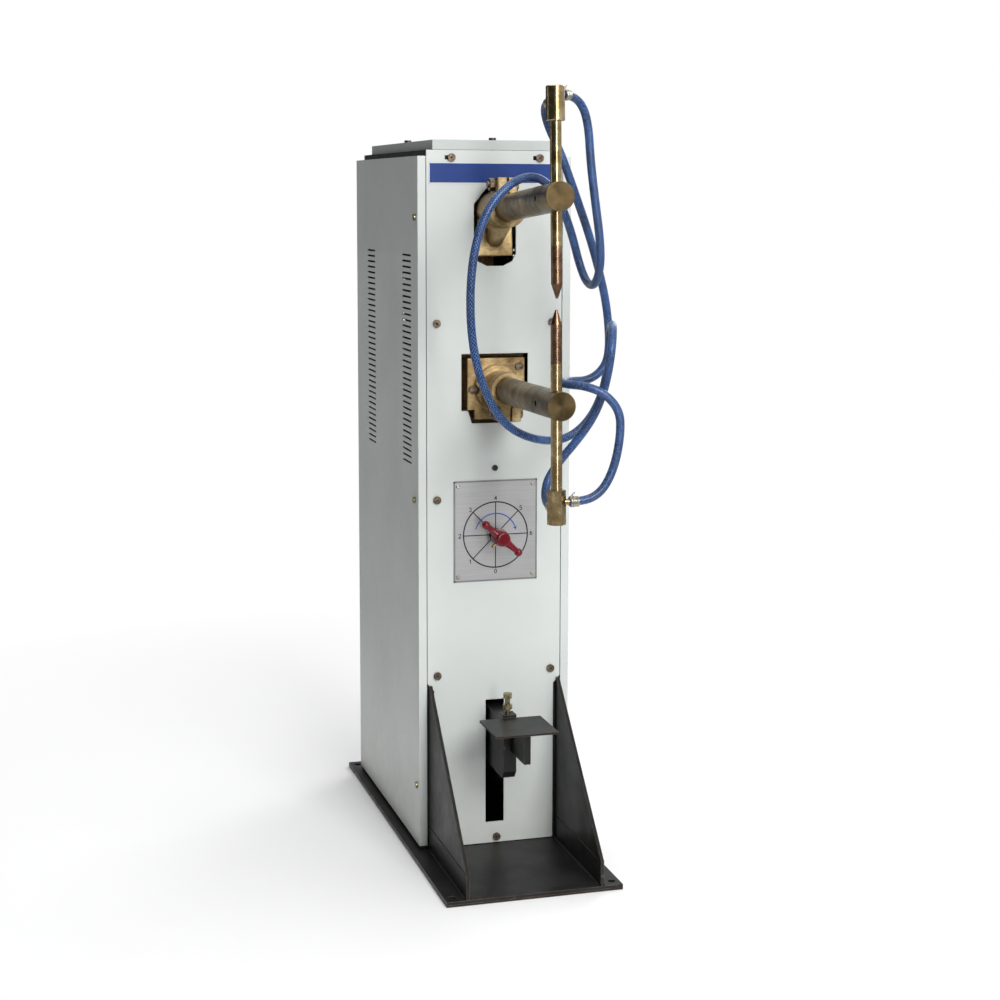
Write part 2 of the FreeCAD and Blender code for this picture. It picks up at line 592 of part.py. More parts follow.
# the left fixing screw sits in a pocket in the edge of the round boss
tools.append(rod("low_pocket", 7.2, (LOW_SCREWS[0][0], BLOCK_F, LOW_SCREWS[0][1]),
                 (LOW_SCREWS[0][0], -151, LOW_SCREWS[0][1])))
keep(cut("lower_holder", holder, tools), "lower_holder")


def clamp_bolt(name, x0, x1, y, z, head_right=True):
    """Hexagon head bolt along X with a nut, outside the ears at x0 and x1."""
    shank = rod(name + "_shank", 5.0, (x0 - 11, y, z), (x1 + 5, y, z))
    head = doc.addObject("Part::Prism", name + "_head")
    head.Polygon = 6
    head.Circumradius = 9.8
    head.Height = 7.0
    head.Placement = FreeCAD.Placement(V(x1, y, z), FreeCAD.Rotation(V(0, 1, 0), 90))
    nut = doc.addObject("Part::Prism", name + "_nut")
    nut.Polygon = 6
    nut.Circumradius = 9.8
    nut.Height = 8.0
    nut.Placement = FreeCAD.Placement(V(x0 - 8, y, z), FreeCAD.Rotation(V(0, 1, 0), 90))
    return fuse(name, [shank, head, nut])


keep(clamp_bolt("lower_clamp_bolt", EAR_X - 17, EAR_X + 15, -180, ear_z - 34), "lower_clamp_bolt")
fix = []
for i, (x, z) in enumerate(LOW_SCREWS):
    fix.append(fuse("low_fixing_%d" % i, [rod("lfh_%d" % i, 6.5, (x, BLOCK_F, z), (x, BLOCK_F - 4.5, z)),
                                          rod("lfs_%d" % i, 5.0, (x, BLOCK_F - 1, z), (x, -80, z))]))
keep(group("holder_screws", fix), "holder_screws")
board = box("board", -55, 55, BLOCK_R, -92, 665, 788)
window = box("board_window", -26, 26, BLOCK_R - 1, -84, 702, 762)
holes = [rod("board_hole_%d" % i, 5.1, (x, -100, z), (x, -78, z)) for i, (x, z) in enumerate(LOW_SCREWS)]
keep(cut("insulating_board", board, [window] + holes), "insulating_board")
cross = box("cross_block", -RAIL_X, RAIL_X, -92, -86, 655, 800)
window2 = box("cross_window", -30, 30, -93, -84, 698, 766)
holes2 = [rod("cross_hole_%d" % i, 5.1, (x, -100, z), (x, -78, z)) for i, (x, z) in enumerate(LOW_SCREWS)]
keep(cut("holder_cross_plate", cross, [window2] + holes2), "holder_cross_plate")

low_arm = rod("low_arm_rod", "Dims.arm_r", lower_axis(LFY), lower_axis(dim("lower_rear_y")))
L_TIP = V(0, -434.0, 863.5)
L_END = V(0, -440.5, 568.0)
l_dir = (L_TIP - L_END).normalize()


def along(start, direction, distance):
    return start + direction * distance


low_cross = rod("low_cross_hole", 8.0, along(L_END, l_dir, 100), along(L_END, l_dir, 230))
low_set = rod("low_set_hole", 4.0, (-24, -404, lower_axis(-404)[2]), (-12, -404, lower_axis(-404)[2]))
keep(cut("lower_arm", low_arm, [low_cross, low_set]), "lower_arm")


def electrode(name, tip, end, joint):
    """Turned copper point and the brass tube behind it, from tip towards end."""
    direction = (end - tip).normalize()
    turn = FreeCAD.Rotation(V(0, 0, 1), direction)
    point = turned(name + "_point", [(0, 0), (1.6, 0), (dim("tube_r"), dim("cone_len")),
                                     (dim("tube_r"), joint), (0, joint)])
    point.Placement = FreeCAD.Placement(tip, turn)
    keep(point, name + "_tip")
    return direction, turn


# lower electrode: copper point, brass tube, hexagon nut
l_down, l_turn = electrode("lower_electrode", L_TIP, L_END, dim("tip_len"))
keep(rod("low_tube", "Dims.tube_r", along(L_TIP, l_down, dim("tip_len")),
         along(L_END, l_dir, dim("nut_len") - 14)), "lower_electrode_tube")
nut = doc.addObject("Part::Prism", "low_nut_hex")
nut.Polygon = 6
nut.setExpression("Circumradius", "Dims.nut_flat / 2 / cos(30)")
nut.setExpression("Height", "Dims.nut_len")
nut_turn = FreeCAD.Rotation(V(0, 0, 1), l_dir).multiply(FreeCAD.Rotation(V(0, 0, 1), -16.6))
nut.Placement = FreeCAD.Placement(L_END, nut_turn)
nut_cut = [rod("low_nut_bore", "Dims.tube_r", along(L_END, l_dir, dim("nut_len") - 14),
               along(L_END, l_dir, dim("nut_len") + 2)),
           rod("low_water", 4.0, along(L_END, l_dir, 8), along(L_END, l_dir, dim("nut_len") - 10))]


def barb(name, start, direction):
    """Hose barb: a collar rooted in the metal and the spigot that the hose butts against."""
    collar = rod(name + "_collar", 5.4, start - direction * 2.5, start + direction * 2)
    spigot = rod(name + "_spigot", 4.2, start, start + direction * BARB)
    return fuse(name, [collar, spigot])


def wire_clamp(name, start, direction):
    """Twisted wire wound twice round the hose just past the barb, with its twisted tail."""
    coils = []
    for i, step in enumerate((2.5, 6.0)):
        ring = doc.addObject("Part::Torus", "%s_ring_%d" % (name, i))
        ring.Radius1 = 7.1
        ring.Radius2 = 1.0
        ring.Placement = FreeCAD.Placement(start + direction * step, FreeCAD.Rotation(V(0, 0, 1), direction))
        coils.append(ring)
    up = V(0, 0, 1)
    tail = rod(name + "_tail", 1.0, start + direction * 2.5 + up * 7.1, start + direction * 8 + up * 13)
    return fuse(name, coils + [tail])


BARB = 7.0
SIDE = V(1, 0, 0)
BACK = V(0, 1, 0)
UP_SIDE = V(math.cos(math.radians(40)), math.sin(math.radians(40)), 0)
low_nut = cut("low_nut_cut", nut, nut_cut)
l_side_start = along(L_END, l_dir, 31) + SIDE * (dim("nut_flat") / 2)
l_back_start = along(L_END, l_dir, 20) + BACK * (dim("nut_flat") / 2)
# ================================================================ upper holder, arm, electrode (rocker)
# drawn with the arm level and the pivot at the origin, then tilted open
AX = dim("arm_axis_up")
barrel_u = rod("up_barrel", "Dims.barrel_r", (0, -224, AX), (0, -120, AX))
neck = new_body("up_neck")
sk = new_sketch(neck, "YZ_Plane", -27.0)
draw_loop(sk, [(-152, -38), (-152, AX + 12), (-60, AX + 24), (28, 26), (175, 14), (175, -16), (40, -28),
               (-60, -38)])
add_pad(neck, sk, 54.0)
doc.recompute()
pivot_boss = rod("up_pivot_boss", 30, (-36, 0, 0), (36, 0, 0))
lug = cone("up_lug", 19, 12, (0, -186, AX - 14), (0, -150, AX - 44))
EAR_U = 1.5
ears_u = box("up_ears", EAR_U - 15, EAR_U + 14, -222, -178, AX + 12, AX + 45)
up_all = fuse("up_holder_all", [barrel_u, neck, pivot_boss, ears_u, lug])
tail_trim = [box("up_trim_%d" % s, 16 if s > 0 else -60, 60 if s > 0 else -16, 45, 260, -60, 60)
             for s in (-1, 1)]
tools = [rod("up_bore", 20.05, (0, -260, AX), (0, -90, AX)),
         rod("up_pivot_bore", 12.55, (-60, 0, 0), (60, 0, 0)),
         box("up_slit", EAR_U - 1.2, EAR_U + 1.2, -230, -150, AX + 12, AX + 60),
         rod("up_bolt_hole", 5.05, (EAR_U - 40, -200, AX + 36), (EAR_U + 40, -200, AX + 36)),
         rod("up_adjust_hole", 5.0, (0, 161, -40), (0, 161, 40))] + tail_trim
keep(tilt_upper(cut("upper_holder", up_all, tools)), "upper_holder")
keep(tilt_upper(clamp_bolt("upper_clamp_bolt", EAR_U - 15, EAR_U + 14, -200, AX + 36)), "upper_clamp_bolt")
# adjusting screw in the rocker tail, pushed by the rod
adjust = fuse("adjust_all", [rod("adjust_shank", 4.95, (0, 161, -25), (0, 161, 29)),
                             rod("adjust_nut", 9, (0, 161, 16.3), (0, 161, 23)),
                             primitive("Sphere", "adjust_head", {"Radius": 8.0}, (0, 161, -24))])
keep(tilt_upper(adjust), "tail_adjuster")

U_TIP = V(0, -436.5, 879.0)
U_END = V(0, -423.5, 1165.0)
u_up = (U_END - U_TIP).normalize()
arm_a = upper_point(-dim("upper_front"), AX)
arm_b = upper_point(-dim("upper_rear"), AX)
up_arm = rod("up_arm_rod", "Dims.arm_r", arm_a, arm_b)
up_cross = rod("up_cross_hole", 8.0, along(U_TIP, u_up, 90), along(U_TIP, u_up, 190))
set_y = -397.0
set_z = arm_a.z + (arm_b.z - arm_a.z) * (set_y - arm_a.y) / (arm_b.y - arm_a.y)
up_set_hole = rod("up_set_hole", 4.0, (-24, set_y, set_z), (-12, set_y, set_z))
keep(cut("upper_arm", up_arm, [up_cross, up_set_hole]), "upper_arm")
electrode("upper_electrode", U_TIP, U_END, 71.0)
keep(rod("up_tube", "Dims.tube_r", along(U_TIP, u_up, 71.0), along(U_END, u_up, -dim("cap_len") + 14)),
     "upper_electrode_tube")
cap = turned("upper_cap", [(0, 0), (dim("cap_r") - 1, 0), (dim("cap_r"), 1),
                           (dim("cap_r"), dim("cap_len") - 1),
                           (dim("cap_r") - 1, dim("cap_len")), (dim("tube_r"), dim("cap_len")),
                           (dim("tube_r"), dim("cap_len") - 14), (0, dim("cap_len") - 14)])
cap.Placement = FreeCAD.Placement(U_END, FreeCAD.Rotation(V(0, 0, 1), u_up * -1))
u_side_start = along(U_END, u_up, -11) + UP_SIDE * dim("cap_r")
u_back_start = along(U_END, u_up, -22) + BACK * dim("cap_r")


# ================================================================ hoses
def hose_path(points):
    """Straight runs joined by tangent arcs, and the tube's centreline wire."""
    nodes = [V(*p) for p in points]
    last = len(nodes) - 1
    runs = [(nodes[i + 1] - nodes[i]).Length for i in range(last)]
    edges, radii = [], []
    at = nodes[0]
    for i in range(1, last):
        d0 = (nodes[i] - nodes[i - 1]).normalize()
        d1 = (nodes[i + 1] - nodes[i]).normalize()
        turn = d0.getAngle(d1)
        reach = 0.45 * min(runs[i - 1], runs[i])
        radius = reach / math.tan(turn / 2)
        radii.append(radius)
        start, end = nodes[i] - d0 * reach, nodes[i] + d1 * reach
        middle_dir = (d1 - d0).normalize()
        centre = nodes[i] + middle_dir * (radius / math.cos(turn / 2))
        middle = centre - middle_dir * radius
        edges.append(Part.LineSegment(at, start).toShape())
        edges.append(Part.Arc(start, middle, end).toShape())
        at = end
    edges.append(Part.LineSegment(at, nodes[-1]).toShape())
    return Part.Wire(edges), radii


def hose(label, points):
    wire, radii = hose_path(points)
    nodes = [V(*p) for p in points]
    profile = Part.Wire([Part.makeCircle(dim("hose_r"), nodes[0], (nodes[1] - nodes[0]).normalize())])
    tube = Part.Solid(wire.makePipeShell([profile], True, False).Shells[0])
    expected = math.pi * dim("hose_r") ** 2 * wire.Length
    turns = [round(math.degrees((nodes[i] - nodes[i - 1]).getAngle(nodes[i + 1] - nodes[i])), 0)
             for i in range(1, len(nodes) - 1)]
    print(label, "length", round(wire.Length, 1), "min radius", round(min(radii), 1), "max turn", max(turns),
          "volume ratio", round(tube.Volume / expected, 4), "radii", [round(r) for r in radii])
    obj = doc.addObject("Part::Feature", label + "_feature")
    obj.Shape = tube
    return keep(obj, label)


u_side_end = u_side_start + UP_SIDE * BARB
u_back_end = u_back_start + BACK * BARB
l_side_end = l_side_start + SIDE * BARB
l_back_end = l_back_start + BACK * BARB
UPPER_HOSE = [
    tuple(u_side_end),
    (36, -393.8, 1154), (55, -383, 1138), (63, -380, 1108), (65, -382, 1067), (71, -384, 1015),
    (79, -385, 958), (82, -380, 921), (83, -355, 892), (83, -318, 892), (79, -293, 921), (68, -298, 957),
    (50, -315, 993), (29, -326, 1029), (-4, -333, 1048), (-42, -340, 1033), (-76, -346, 995),
    (-95, -349, 935), (-98, -344, 865), (-90, -334, 800), (-70, -322, 740), (-38, -310, 692),
    (8, -302, 668), (58, -296, 664), (100, -287, 692), (126, -277, 740), (135, -270, 800),
    (128, -275, 860), (109, -291, 915), (85, -316, 966), (61, -337, 1012), (45, -346, 1047),
    (31, -349, 1080), (16, -348, 1109), (5, -360, 1131), (0, -380.6, 1143), tuple(u_back_end)]
LOWER_HOSE = [
    tuple(l_side_end),
    (40.4, -439.8, 599), (61, -438, 607), (76, -436, 624), (88, -434, 652), (95, -433, 690),
    (94, -432, 722), (73, -428, 747), (46, -420, 757), (28, -397, 757), (28, -365, 757), (50, -341, 756),
    (83, -338, 756), (107, -339, 778), (110, -340, 814), (104, -364, 838), (95, -397, 838),
    (86, -420, 814), (82, -419, 780), (79, -403, 742), (70, -388, 708), (52, -374, 676), (30, -366, 648),
    (11, -364, 621), (3, -375, 600), (0, -397, 588), tuple(l_back_end)]
hose("upper_hose", UPPER_HOSE)
hose("lower_hose", LOWER_HOSE)

keep(fuse("cap_with_barbs", [cap, barb("ub_side", u_side_start, UP_SIDE),
                             barb("ub_back", u_back_start, BACK)]), "upper_cap")
keep(fuse("nut_with_barbs", [low_nut, barb("lb_side", l_side_start, SIDE),
                             barb("lb_back", l_back_start, BACK)]), "lower_nut")
keep(group("upper_wire_clamps", [wire_clamp("uw_side", u_side_end, UP_SIDE),
                                 wire_clamp("uw_back", u_back_end, BACK)]), "upper_wire_clamps")
keep(group("lower_wire_clamps", [wire_clamp("lw_side", l_side_end, SIDE),
                                 wire_clamp("lw_back", l_back_end, BACK)]), "lower_wire_clamps")

# ================================================================ pedal and push rod
PDY, PDZ = dim("pedal_y"), dim("pedal_z")
RY = dim("rod_y")
LX = dim("lever_x")
lever = new_body("lever_bar")
sk = new_sketch(lever, "YZ_Plane", "Dims.lever_x - Dims.lever_thk / 2")
draw_loop(sk, [(-212, 148), (-203, 137), (-60, 138), (100, 166), (PDY, 168), (RY, 180), (RY, 198),
               (RY - 14, 198), (140, 214),
               (90, 222), (-60, 228), (-212, 228)])
add_pad(lever, sk, "Dims.lever_thk")
doc.recompute()
nose = rod("lever_nose", 10, (LX - 10, RY, PDZ), (LX + 10, RY, PDZ))
lever_all = fuse("lever_all", [lever, nose])
keep(cut("pedal_lever", lever_all, [rod("lever_bore", 8.05, (-30, PDY, PDZ), (30, PDY, PDZ)),
                                    rod("lever_tap", 4.0, (LX, -198, 200), (LX, -198, 240)),
                                    rod("lever_eye", 3.0, (-30, -20, 214), (30, -20, 214))]), "pedal_lever")
web = box("tread_web", LX + 1, LX + 11, -284, -212, 180, 228)
tread = box("tread_top", LX - 47, LX + 49, -301, -209, 228, 231.5)
boss = box("tread_boss", LX - 11, LX + 11, -209, -187, 228, 236)
boss_cut = [rod("boss_hole", 4.0, (LX, -198, 220), (LX, -198, 240))]
keep(cut("pedal_tread", fuse("tread_all", [web, tread, boss]), boss_cut), "pedal_tread")
screw = fuse("tread_screw_all", [rod("ts_shank", 3.95, (LX, -198, 206), (LX, -198, 262)),
                                 rod("ts_head", 6.6, (LX, -198, 260), (LX, -198, 267.5))])
lock = doc.addObject("Part::Prism", "lock_hex")
lock.Polygon = 6
lock.Circumradius = 7.6
lock.Height = 6.8
lock.Placement = FreeCAD.Placement(V(LX, -198, 243), FreeCAD.Rotation())
lock_nut = cut("lock_cut", lock, [rod("lock_bore", 3.95, (LX, -198, 240), (LX, -198, 252))])
keep(group("screw_and_nut", [screw, lock_nut]), "tread_screw")

foot = box("pl_foot", LX - 42, LX + 42, PDY - 30, PDY + 30, BASE_TOP, BASE_TOP + 6)
cheeks = [box("pl_cheek_%d" % s, LX + s * 16 if s > 0 else LX - 24, LX + 24 if s > 0 else LX - 16,
              PDY - 22, PDY + 22, BASE_TOP + 4, PDZ + 20) for s in (-1, 1)]
stand = fuse("pl_all", [foot] + cheeks)
keep(cut("pedal_stand", stand, [rod("pl_bore", 8.0, (-60, PDY, PDZ), (60, PDY, PDZ))]), "pedal_stand")
keep(rod("pedal_shaft", 8.0, (LX - 30, PDY, PDZ), (LX + 30, PDY, PDZ)), "pedal_shaft")

ROD_BOT, ROD_TOP = 200.4, 911.4
rod_all = fuse("push_rod_all", [rod("pr_main", "Dims.rod_r", (0, RY, ROD_BOT), (0, RY, ROD_TOP)),
                                rod("pr_foot", 9.5, (0, RY, ROD_BOT), (0, RY, ROD_BOT + 8)),
                                rod("pr_collar", 15, (0, RY, 700), (0, RY, 708)),
                                rod("pr_ring", 15, (0, RY, 800), (0, RY, 812)),
                                rod("pr_top", 11, (0, RY, ROD_TOP - 8), (0, RY, ROD_TOP))])
keep(rod_all, "push_rod")
plate_guide = fuse("guide_all", [box("guide_bar", -BEAM_X, BEAM_X, RY - 20, RY + 20, 520, 528),
                                 rod("guide_bush", 13, (0, RY, 512), (0, RY, 546))])
keep(cut("rod_guide", plate_guide, [rod("guide_bore", 7.05, (0, RY, 505), (0, RY, 555))]), "rod_guide")


def coil_spring(label, base, height, radius, wire_r, turns):
    """Open-coil spring standing on base, swept along a helix."""
    pitch = (height - 2 * wire_r) / turns
    helix = Part.makeHelix(pitch, pitch * turns, radius)
    helix.translate(V(0, 0, wire_r))
    lead = pitch / (2 * math.pi * radius)
    profile = Part.Wire([Part.makeCircle(wire_r, V(radius, 0, wire_r), V(0, 1, lead))])
    shell = helix.makePipeShell([profile], True, True)
    obj = doc.addObject("Part::Feature", label + "_feature")
    obj.Shape = Part.Solid(shell.Shells[0])
    obj.Placement = FreeCAD.Placement(V(*base), FreeCAD.Rotation())
    return keep(obj, label)


coil_spring("pressure_spring", (0, RY, 708.2), 91.6, 11.0, 2.2, 10)
coil_spring("pedal_return_spring", (LX, -20, 226), 263.7, 9.0, 1.4, 40)
coil_spring("rocker_return_spring", (0, 148, 850.3), 75, 9.0, 1.6, 15)

# ================================================================ transformer and conductors
core = box("core_block", -75, 75, 0, 80, 522, 722)
windows = [box("core_window_%d" % s, 22 if s > 0 else -52, 52 if s > 0 else -22, -5, 85, 552, 692)
           for s in (-1, 1)]
keep(cut("transformer_core", core, windows), "transformer_core")
coil = box("coil_block", -50, 50, -28, 108, 556, 688)
keep(cut("transformer_coil", coil, [box("coil_limb", -22.3, 22.3, -0.3, 80.3, 550, 690)]), "transformer_coil")
secondary = fuse("lower_bar", [box("lb_front", -20, 20, -98, -40, 712, 752),
                               box("lb_drop", -20, 20, -50, -40, 600, 752),
                               box("lb_foot", -20, 20, -50, -28, 600, 624)])
keep(group("secondary", [secondary, box("upper_bar", -20, 20, -22, -12, 688, 800)]), "secondary_bars")


def strip_outline(path, thickness):
    """Outline of a flat strip of even thickness along a path of (y, z) points."""
    left, right = [], []
    for i, (y, z) in enumerate(path):
        a = path[max(i - 1, 0)]
        b = path[min(i + 1, len(path) - 1)]
        length = math.hypot(b[0] - a[0], b[1] - a[1])
        ny, nz = -(b[1] - a[1]) / length, (b[0] - a[0]) / length
        left.append((y + ny * thickness / 2, z + nz * thickness / 2))
        right.append((y - ny * thickness / 2, z - nz * thickness / 2))
    return left + right[::-1]


shunt = new_body("shunt_strip")
sk = new_sketch(shunt, "YZ_Plane", -20.0)
draw_loop(sk, strip_outline([(-25, 776), (-25, 800), (-38, 824), (-60, 846), (-64, 872), (-48, 898),
                             (-42, 920.4)], 6))
add_pad(shunt, sk, 40.0)
keep(shunt, "copper_shunt")

gland = fuse("gland_all", [rod("gland_flange", 15, (50, REAR, 120), (50, REAR + 8, 120)),
                           rod("gland_dome", 12.5, (50, REAR + 6, 120), (50, REAR + 20, 120)),
                           rod("gland_thread", 10, (50, REAR - 10, 120), (50, REAR + 6, 120)),
                           rod("gland_nut", 14, (50, REAR - 9, 120), (50, REAR - SHEET, 120))])
gland_bore = rod("gland_bore", 7.0, (50, REAR - 20, 120), (50, REAR + 30, 120))
keep(cut("cable_gland", gland, [gland_bore]), "cable_gland")

# ================================================================ check and export
doc.recompute()
for obj in doc.Objects:
    bad = [s for s in obj.State if s in ("Invalid", "Error")]
    if bad:
        raise RuntimeError("%s is %s" % (obj.Name, bad))
for obj in SUBPARTS:
    shape = obj.Shape
    if shape.isNull() or not shape.isValid() or shape.Volume <= 0:
        raise RuntimeError("bad shape " + obj.Label)
    shape.exportStep("parts/%s.step" % obj.Label)
print("sub-parts written:", len(SUBPARTS))
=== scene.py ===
import math
import random

import bpy
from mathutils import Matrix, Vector


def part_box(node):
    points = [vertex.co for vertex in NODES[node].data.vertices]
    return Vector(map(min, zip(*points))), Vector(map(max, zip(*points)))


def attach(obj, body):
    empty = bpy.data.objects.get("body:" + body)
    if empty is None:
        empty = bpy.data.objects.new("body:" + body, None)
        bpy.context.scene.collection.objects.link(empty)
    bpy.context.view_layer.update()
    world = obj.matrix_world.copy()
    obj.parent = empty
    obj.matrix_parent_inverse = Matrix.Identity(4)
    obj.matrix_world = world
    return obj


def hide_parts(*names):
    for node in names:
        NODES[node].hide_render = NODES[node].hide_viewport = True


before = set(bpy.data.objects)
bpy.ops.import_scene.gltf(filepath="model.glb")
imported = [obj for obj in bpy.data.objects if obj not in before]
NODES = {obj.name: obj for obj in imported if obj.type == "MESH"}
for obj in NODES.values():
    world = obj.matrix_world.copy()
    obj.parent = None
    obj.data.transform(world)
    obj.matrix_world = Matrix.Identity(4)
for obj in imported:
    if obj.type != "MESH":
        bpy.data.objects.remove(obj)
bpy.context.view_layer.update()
random.seed(11)

FRONT_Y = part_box("front_panel")[0].y      # outer face of the front panel
COVER_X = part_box("side_cover_left")[0].x  # outer face of the left side cover


# ---------------------------------------------------------------- node material helpers
THREADS = 420.0  # thread crossings along a hose


class Paint:
    """A Principled material and short calls that add nodes to it."""

    def __init__(self, name, metallic=0.0, roughness=0.4, coat=0.0):
        self.material = bpy.data.materials.new(name)
        self.material.use_nodes = True
        self.nodes = self.material.node_tree.nodes
        self.links = self.material.node_tree.links
        self.shader = self.nodes["Principled BSDF"]
        self.shader.inputs["Metallic"].default_value = metallic
        self.shader.inputs["Roughness"].default_value = roughness
        self.shader.inputs["Coat Weight"].default_value = coat
        self.place = self.nodes.new("ShaderNodeTexCoord").outputs["Object"]

    def set(self, socket, value):
        """Give one of the shader's own sockets a value or a link."""
        self.join(value, self.shader.inputs[socket])

    def join(self, source, target):
        if hasattr(source, "is_linked"):
            self.links.new(source, target)
        else:
            target.default_value = source

    def stretch(self, scale, offset=(0, 0, 0), turn=(0, 0, 0)):
        """The object's own coordinates, scaled per axis."""
        node = self.nodes.new("ShaderNodeMapping")
        node.inputs["Scale"].default_value = scale
        node.inputs["Location"].default_value = offset
        node.inputs["Rotation"].default_value = turn
        self.links.new(self.place, node.inputs["Vector"])
        return node.outputs["Vector"]

    def noise(self, scale, detail=6.0, rough=0.55, where=None):
        node = self.nodes.new("ShaderNodeTexNoise")
        node.inputs["Scale"].default_value = scale
        node.inputs["Detail"].default_value = detail
        node.inputs["Roughness"].default_value = rough
        self.links.new(where or self.place, node.inputs["Vector"])
        return node.outputs["Fac"]

    def cells(self, scale):
        node = self.nodes.new("ShaderNodeTexVoronoi")
        node.inputs["Scale"].default_value = scale
        self.links.new(self.place, node.inputs["Vector"])
        return node.outputs["Distance"]

    def ramp(self, source, *stops):
        """Colour ramp from (position, colour) stops; a number is a grey."""
        node = self.nodes.new("ShaderNodeValToRGB")
        elements = node.color_ramp.elements
        while len(elements) < len(stops):
            elements.new(0.5)
        for element, (position, colour) in zip(elements, stops):
            element.position = position
            if isinstance(colour, (int, float)):
                colour = (colour, colour, colour)
            element.color = (*colour, 1.0)
        self.links.new(source, node.inputs["Fac"])
        return node.outputs["Color"]

    def mix(self, factor, low, high, mode="MIX"):
        node = self.nodes.new("ShaderNodeMix")
        node.data_type = "RGBA"
        node.blend_type = mode
        self.join(factor, node.inputs[0])
        self.join((*low, 1.0) if isinstance(low, tuple) else low, node.inputs[6])
        self.join((*high, 1.0) if isinstance(high, tuple) else high, node.inputs[7])
        return node.outputs[2]

    def math(self, operation, a, b=0.0):
        node = self.nodes.new("ShaderNodeMath")
        node.operation = operation
        self.join(a, node.inputs[0])
        self.join(b, node.inputs[1])
        return node.outputs[0]

    def split(self, where=None):
        node = self.nodes.new("ShaderNodeSeparateXYZ")
        self.links.new(where or self.place, node.inputs[0])
        return node.outputs

    def bump(self, height, strength=0.2, distance=0.001, edge=0.0):
        """Relief from a height; edge above 0 also rounds sharp corners by that radius."""
        node = self.nodes.new("ShaderNodeBump")
        if edge:
            soft = self.nodes.new("ShaderNodeBevel")
            soft.inputs["Radius"].default_value = edge
            soft.samples = 4
            self.links.new(soft.outputs["Normal"], node.inputs["Normal"])
        node.inputs["Strength"].default_value = strength
        node.inputs["Distance"].default_value = distance
        self.join(height, node.inputs["Height"])
        self.links.new(node.outputs["Normal"], self.shader.inputs["Normal"])

    def edge_wear(self, radius=0.0022):
        """White on worn outer edges, black elsewhere."""
        node = self.nodes.new("ShaderNodeBevel")
        node.inputs["Radius"].default_value = radius
        node.samples = 4
        geometry = self.nodes.new("ShaderNodeNewGeometry")
        dot = self.nodes.new("ShaderNodeVectorMath")
        dot.operation = "DOT_PRODUCT"
        self.links.new(node.outputs["Normal"], dot.inputs[0])
        self.links.new(geometry.outputs["True Normal"], dot.inputs[1])
        return self.math("SUBTRACT", 1.0, dot.outputs["Value"])


def powder_coat(name, tint, gloss=0.42):
    """Pale powder coat: fine orange peel, faint cloudiness, a little dust low down."""
    p = Paint(name, roughness=gloss, coat=0.10)
    p.set("Specular IOR Level", 0.35)
    cloud = p.noise(5.0, 4.0, 0.5)
    dark = tuple(c * 0.90 for c in tint)
    base = p.ramp(cloud, (0.35, dark), (0.65, tint))
    specks = p.ramp(p.cells(420.0), (0.02, 0.55), (0.06, 1.0))
    rare = p.ramp(p.noise(38.0, 2.0), (0.60, 0.0), (0.70, 1.0))
    speckled = p.mix(p.math("MULTIPLY", rare, 0.4), base, p.mix(1.0, base, specks, "MULTIPLY"))
    height = p.split()[2]
    low = p.math("MULTIPLY", p.ramp(height, (0.02, 1.0), (0.16, 0.0)), p.noise(26.0, 5.0))
    p.set("Base Color", p.mix(p.math("MULTIPLY", low, 0.45), speckled, (0.30, 0.27, 0.22)))
    p.set("Roughness", p.ramp(p.noise(60.0, 3.0), (0.3, gloss - 0.05), (0.7, gloss + 0.07)))
    p.bump(p.noise(900.0, 2.0), 0.05, 0.0004, edge=0.0012)
    return p.material


def black_steel(name, wear=0.6, rust=True):
    """Black painted steel with scuffs, brown worn edges and dust."""
    p = Paint(name, roughness=0.42)
    p.set("Specular IOR Level", 0.20)
    cloud = p.noise(14.0, 8.0, 0.62)
    paint = p.ramp(cloud, (0.30, (0.006, 0.006, 0.006)), (0.72, (0.020, 0.020, 0.0205)))
    scratch = p.ramp(p.noise(60.0, 3.0, 0.5, p.stretch((1.0, 12.0, 1.0))), (0.66, 0.0), (0.74, 1.0))
    scuffed = p.mix(p.math("MULTIPLY", scratch, 0.35), paint, (0.16, 0.15, 0.14))
    edge = p.ramp(p.math("MULTIPLY", p.edge_wear(), p.math("ADD", p.noise(45.0, 6.0), 0.55)),
                  (0.10, 0.0), (0.30, 1.0))
    worn = p.mix(p.math("MULTIPLY", edge, wear), scuffed,
                 p.ramp(p.noise(90.0, 4.0), (0.35, (0.10, 0.045, 0.022)), (0.65, (0.22, 0.17, 0.12))))
    if rust:
        patches = p.ramp(p.noise(17.0, 9.0, 0.7), (0.62, 0.0), (0.72, 1.0))
        worn = p.mix(p.math("MULTIPLY", patches, 0.30), worn, (0.13, 0.065, 0.035))
    p.set("Base Color", worn)
    p.set("Roughness", p.ramp(cloud, (0.3, 0.30), (0.7, 0.52)))
    p.bump(p.noise(320.0, 4.0), 0.12, 0.0005, edge=0.0010)
    return p.material


def cast_metal(name):
    """Golden-brown sand casting with grinding marks."""
    p = Paint(name, metallic=1.0, roughness=0.42)
    cloud = p.noise(28.0, 8.0, 0.65)
    base = p.ramp(cloud, (0.28, (0.13, 0.085, 0.040)), (0.50, (0.38, 0.27, 0.13)), (0.75, (0.74, 0.58, 0.33)))
    grind = p.noise(130.0, 3.0, 0.6, p.stretch((1.0, 1.0, 7.0), turn=(0.0, 0.5, 0.2)))
    shade = p.mix(0.45, base, p.ramp(grind, (0.35, 0.35), (0.65, 1.0)), "MULTIPLY")
    pits = p.ramp(p.cells(230.0), (0.05, 0.35), (0.22, 1.0))
    p.set("Base Color", p.mix(0.5, shade, pits, "MULTIPLY"))
    p.set("Roughness", p.ramp(p.noise(75.0, 5.0), (0.3, 0.28), (0.7, 0.55)))
    p.bump(p.math("ADD", p.noise(170.0, 6.0, 0.7), p.math("MULTIPLY", cloud, 0.8)), 0.5, 0.0012, edge=0.003)
    return p.material


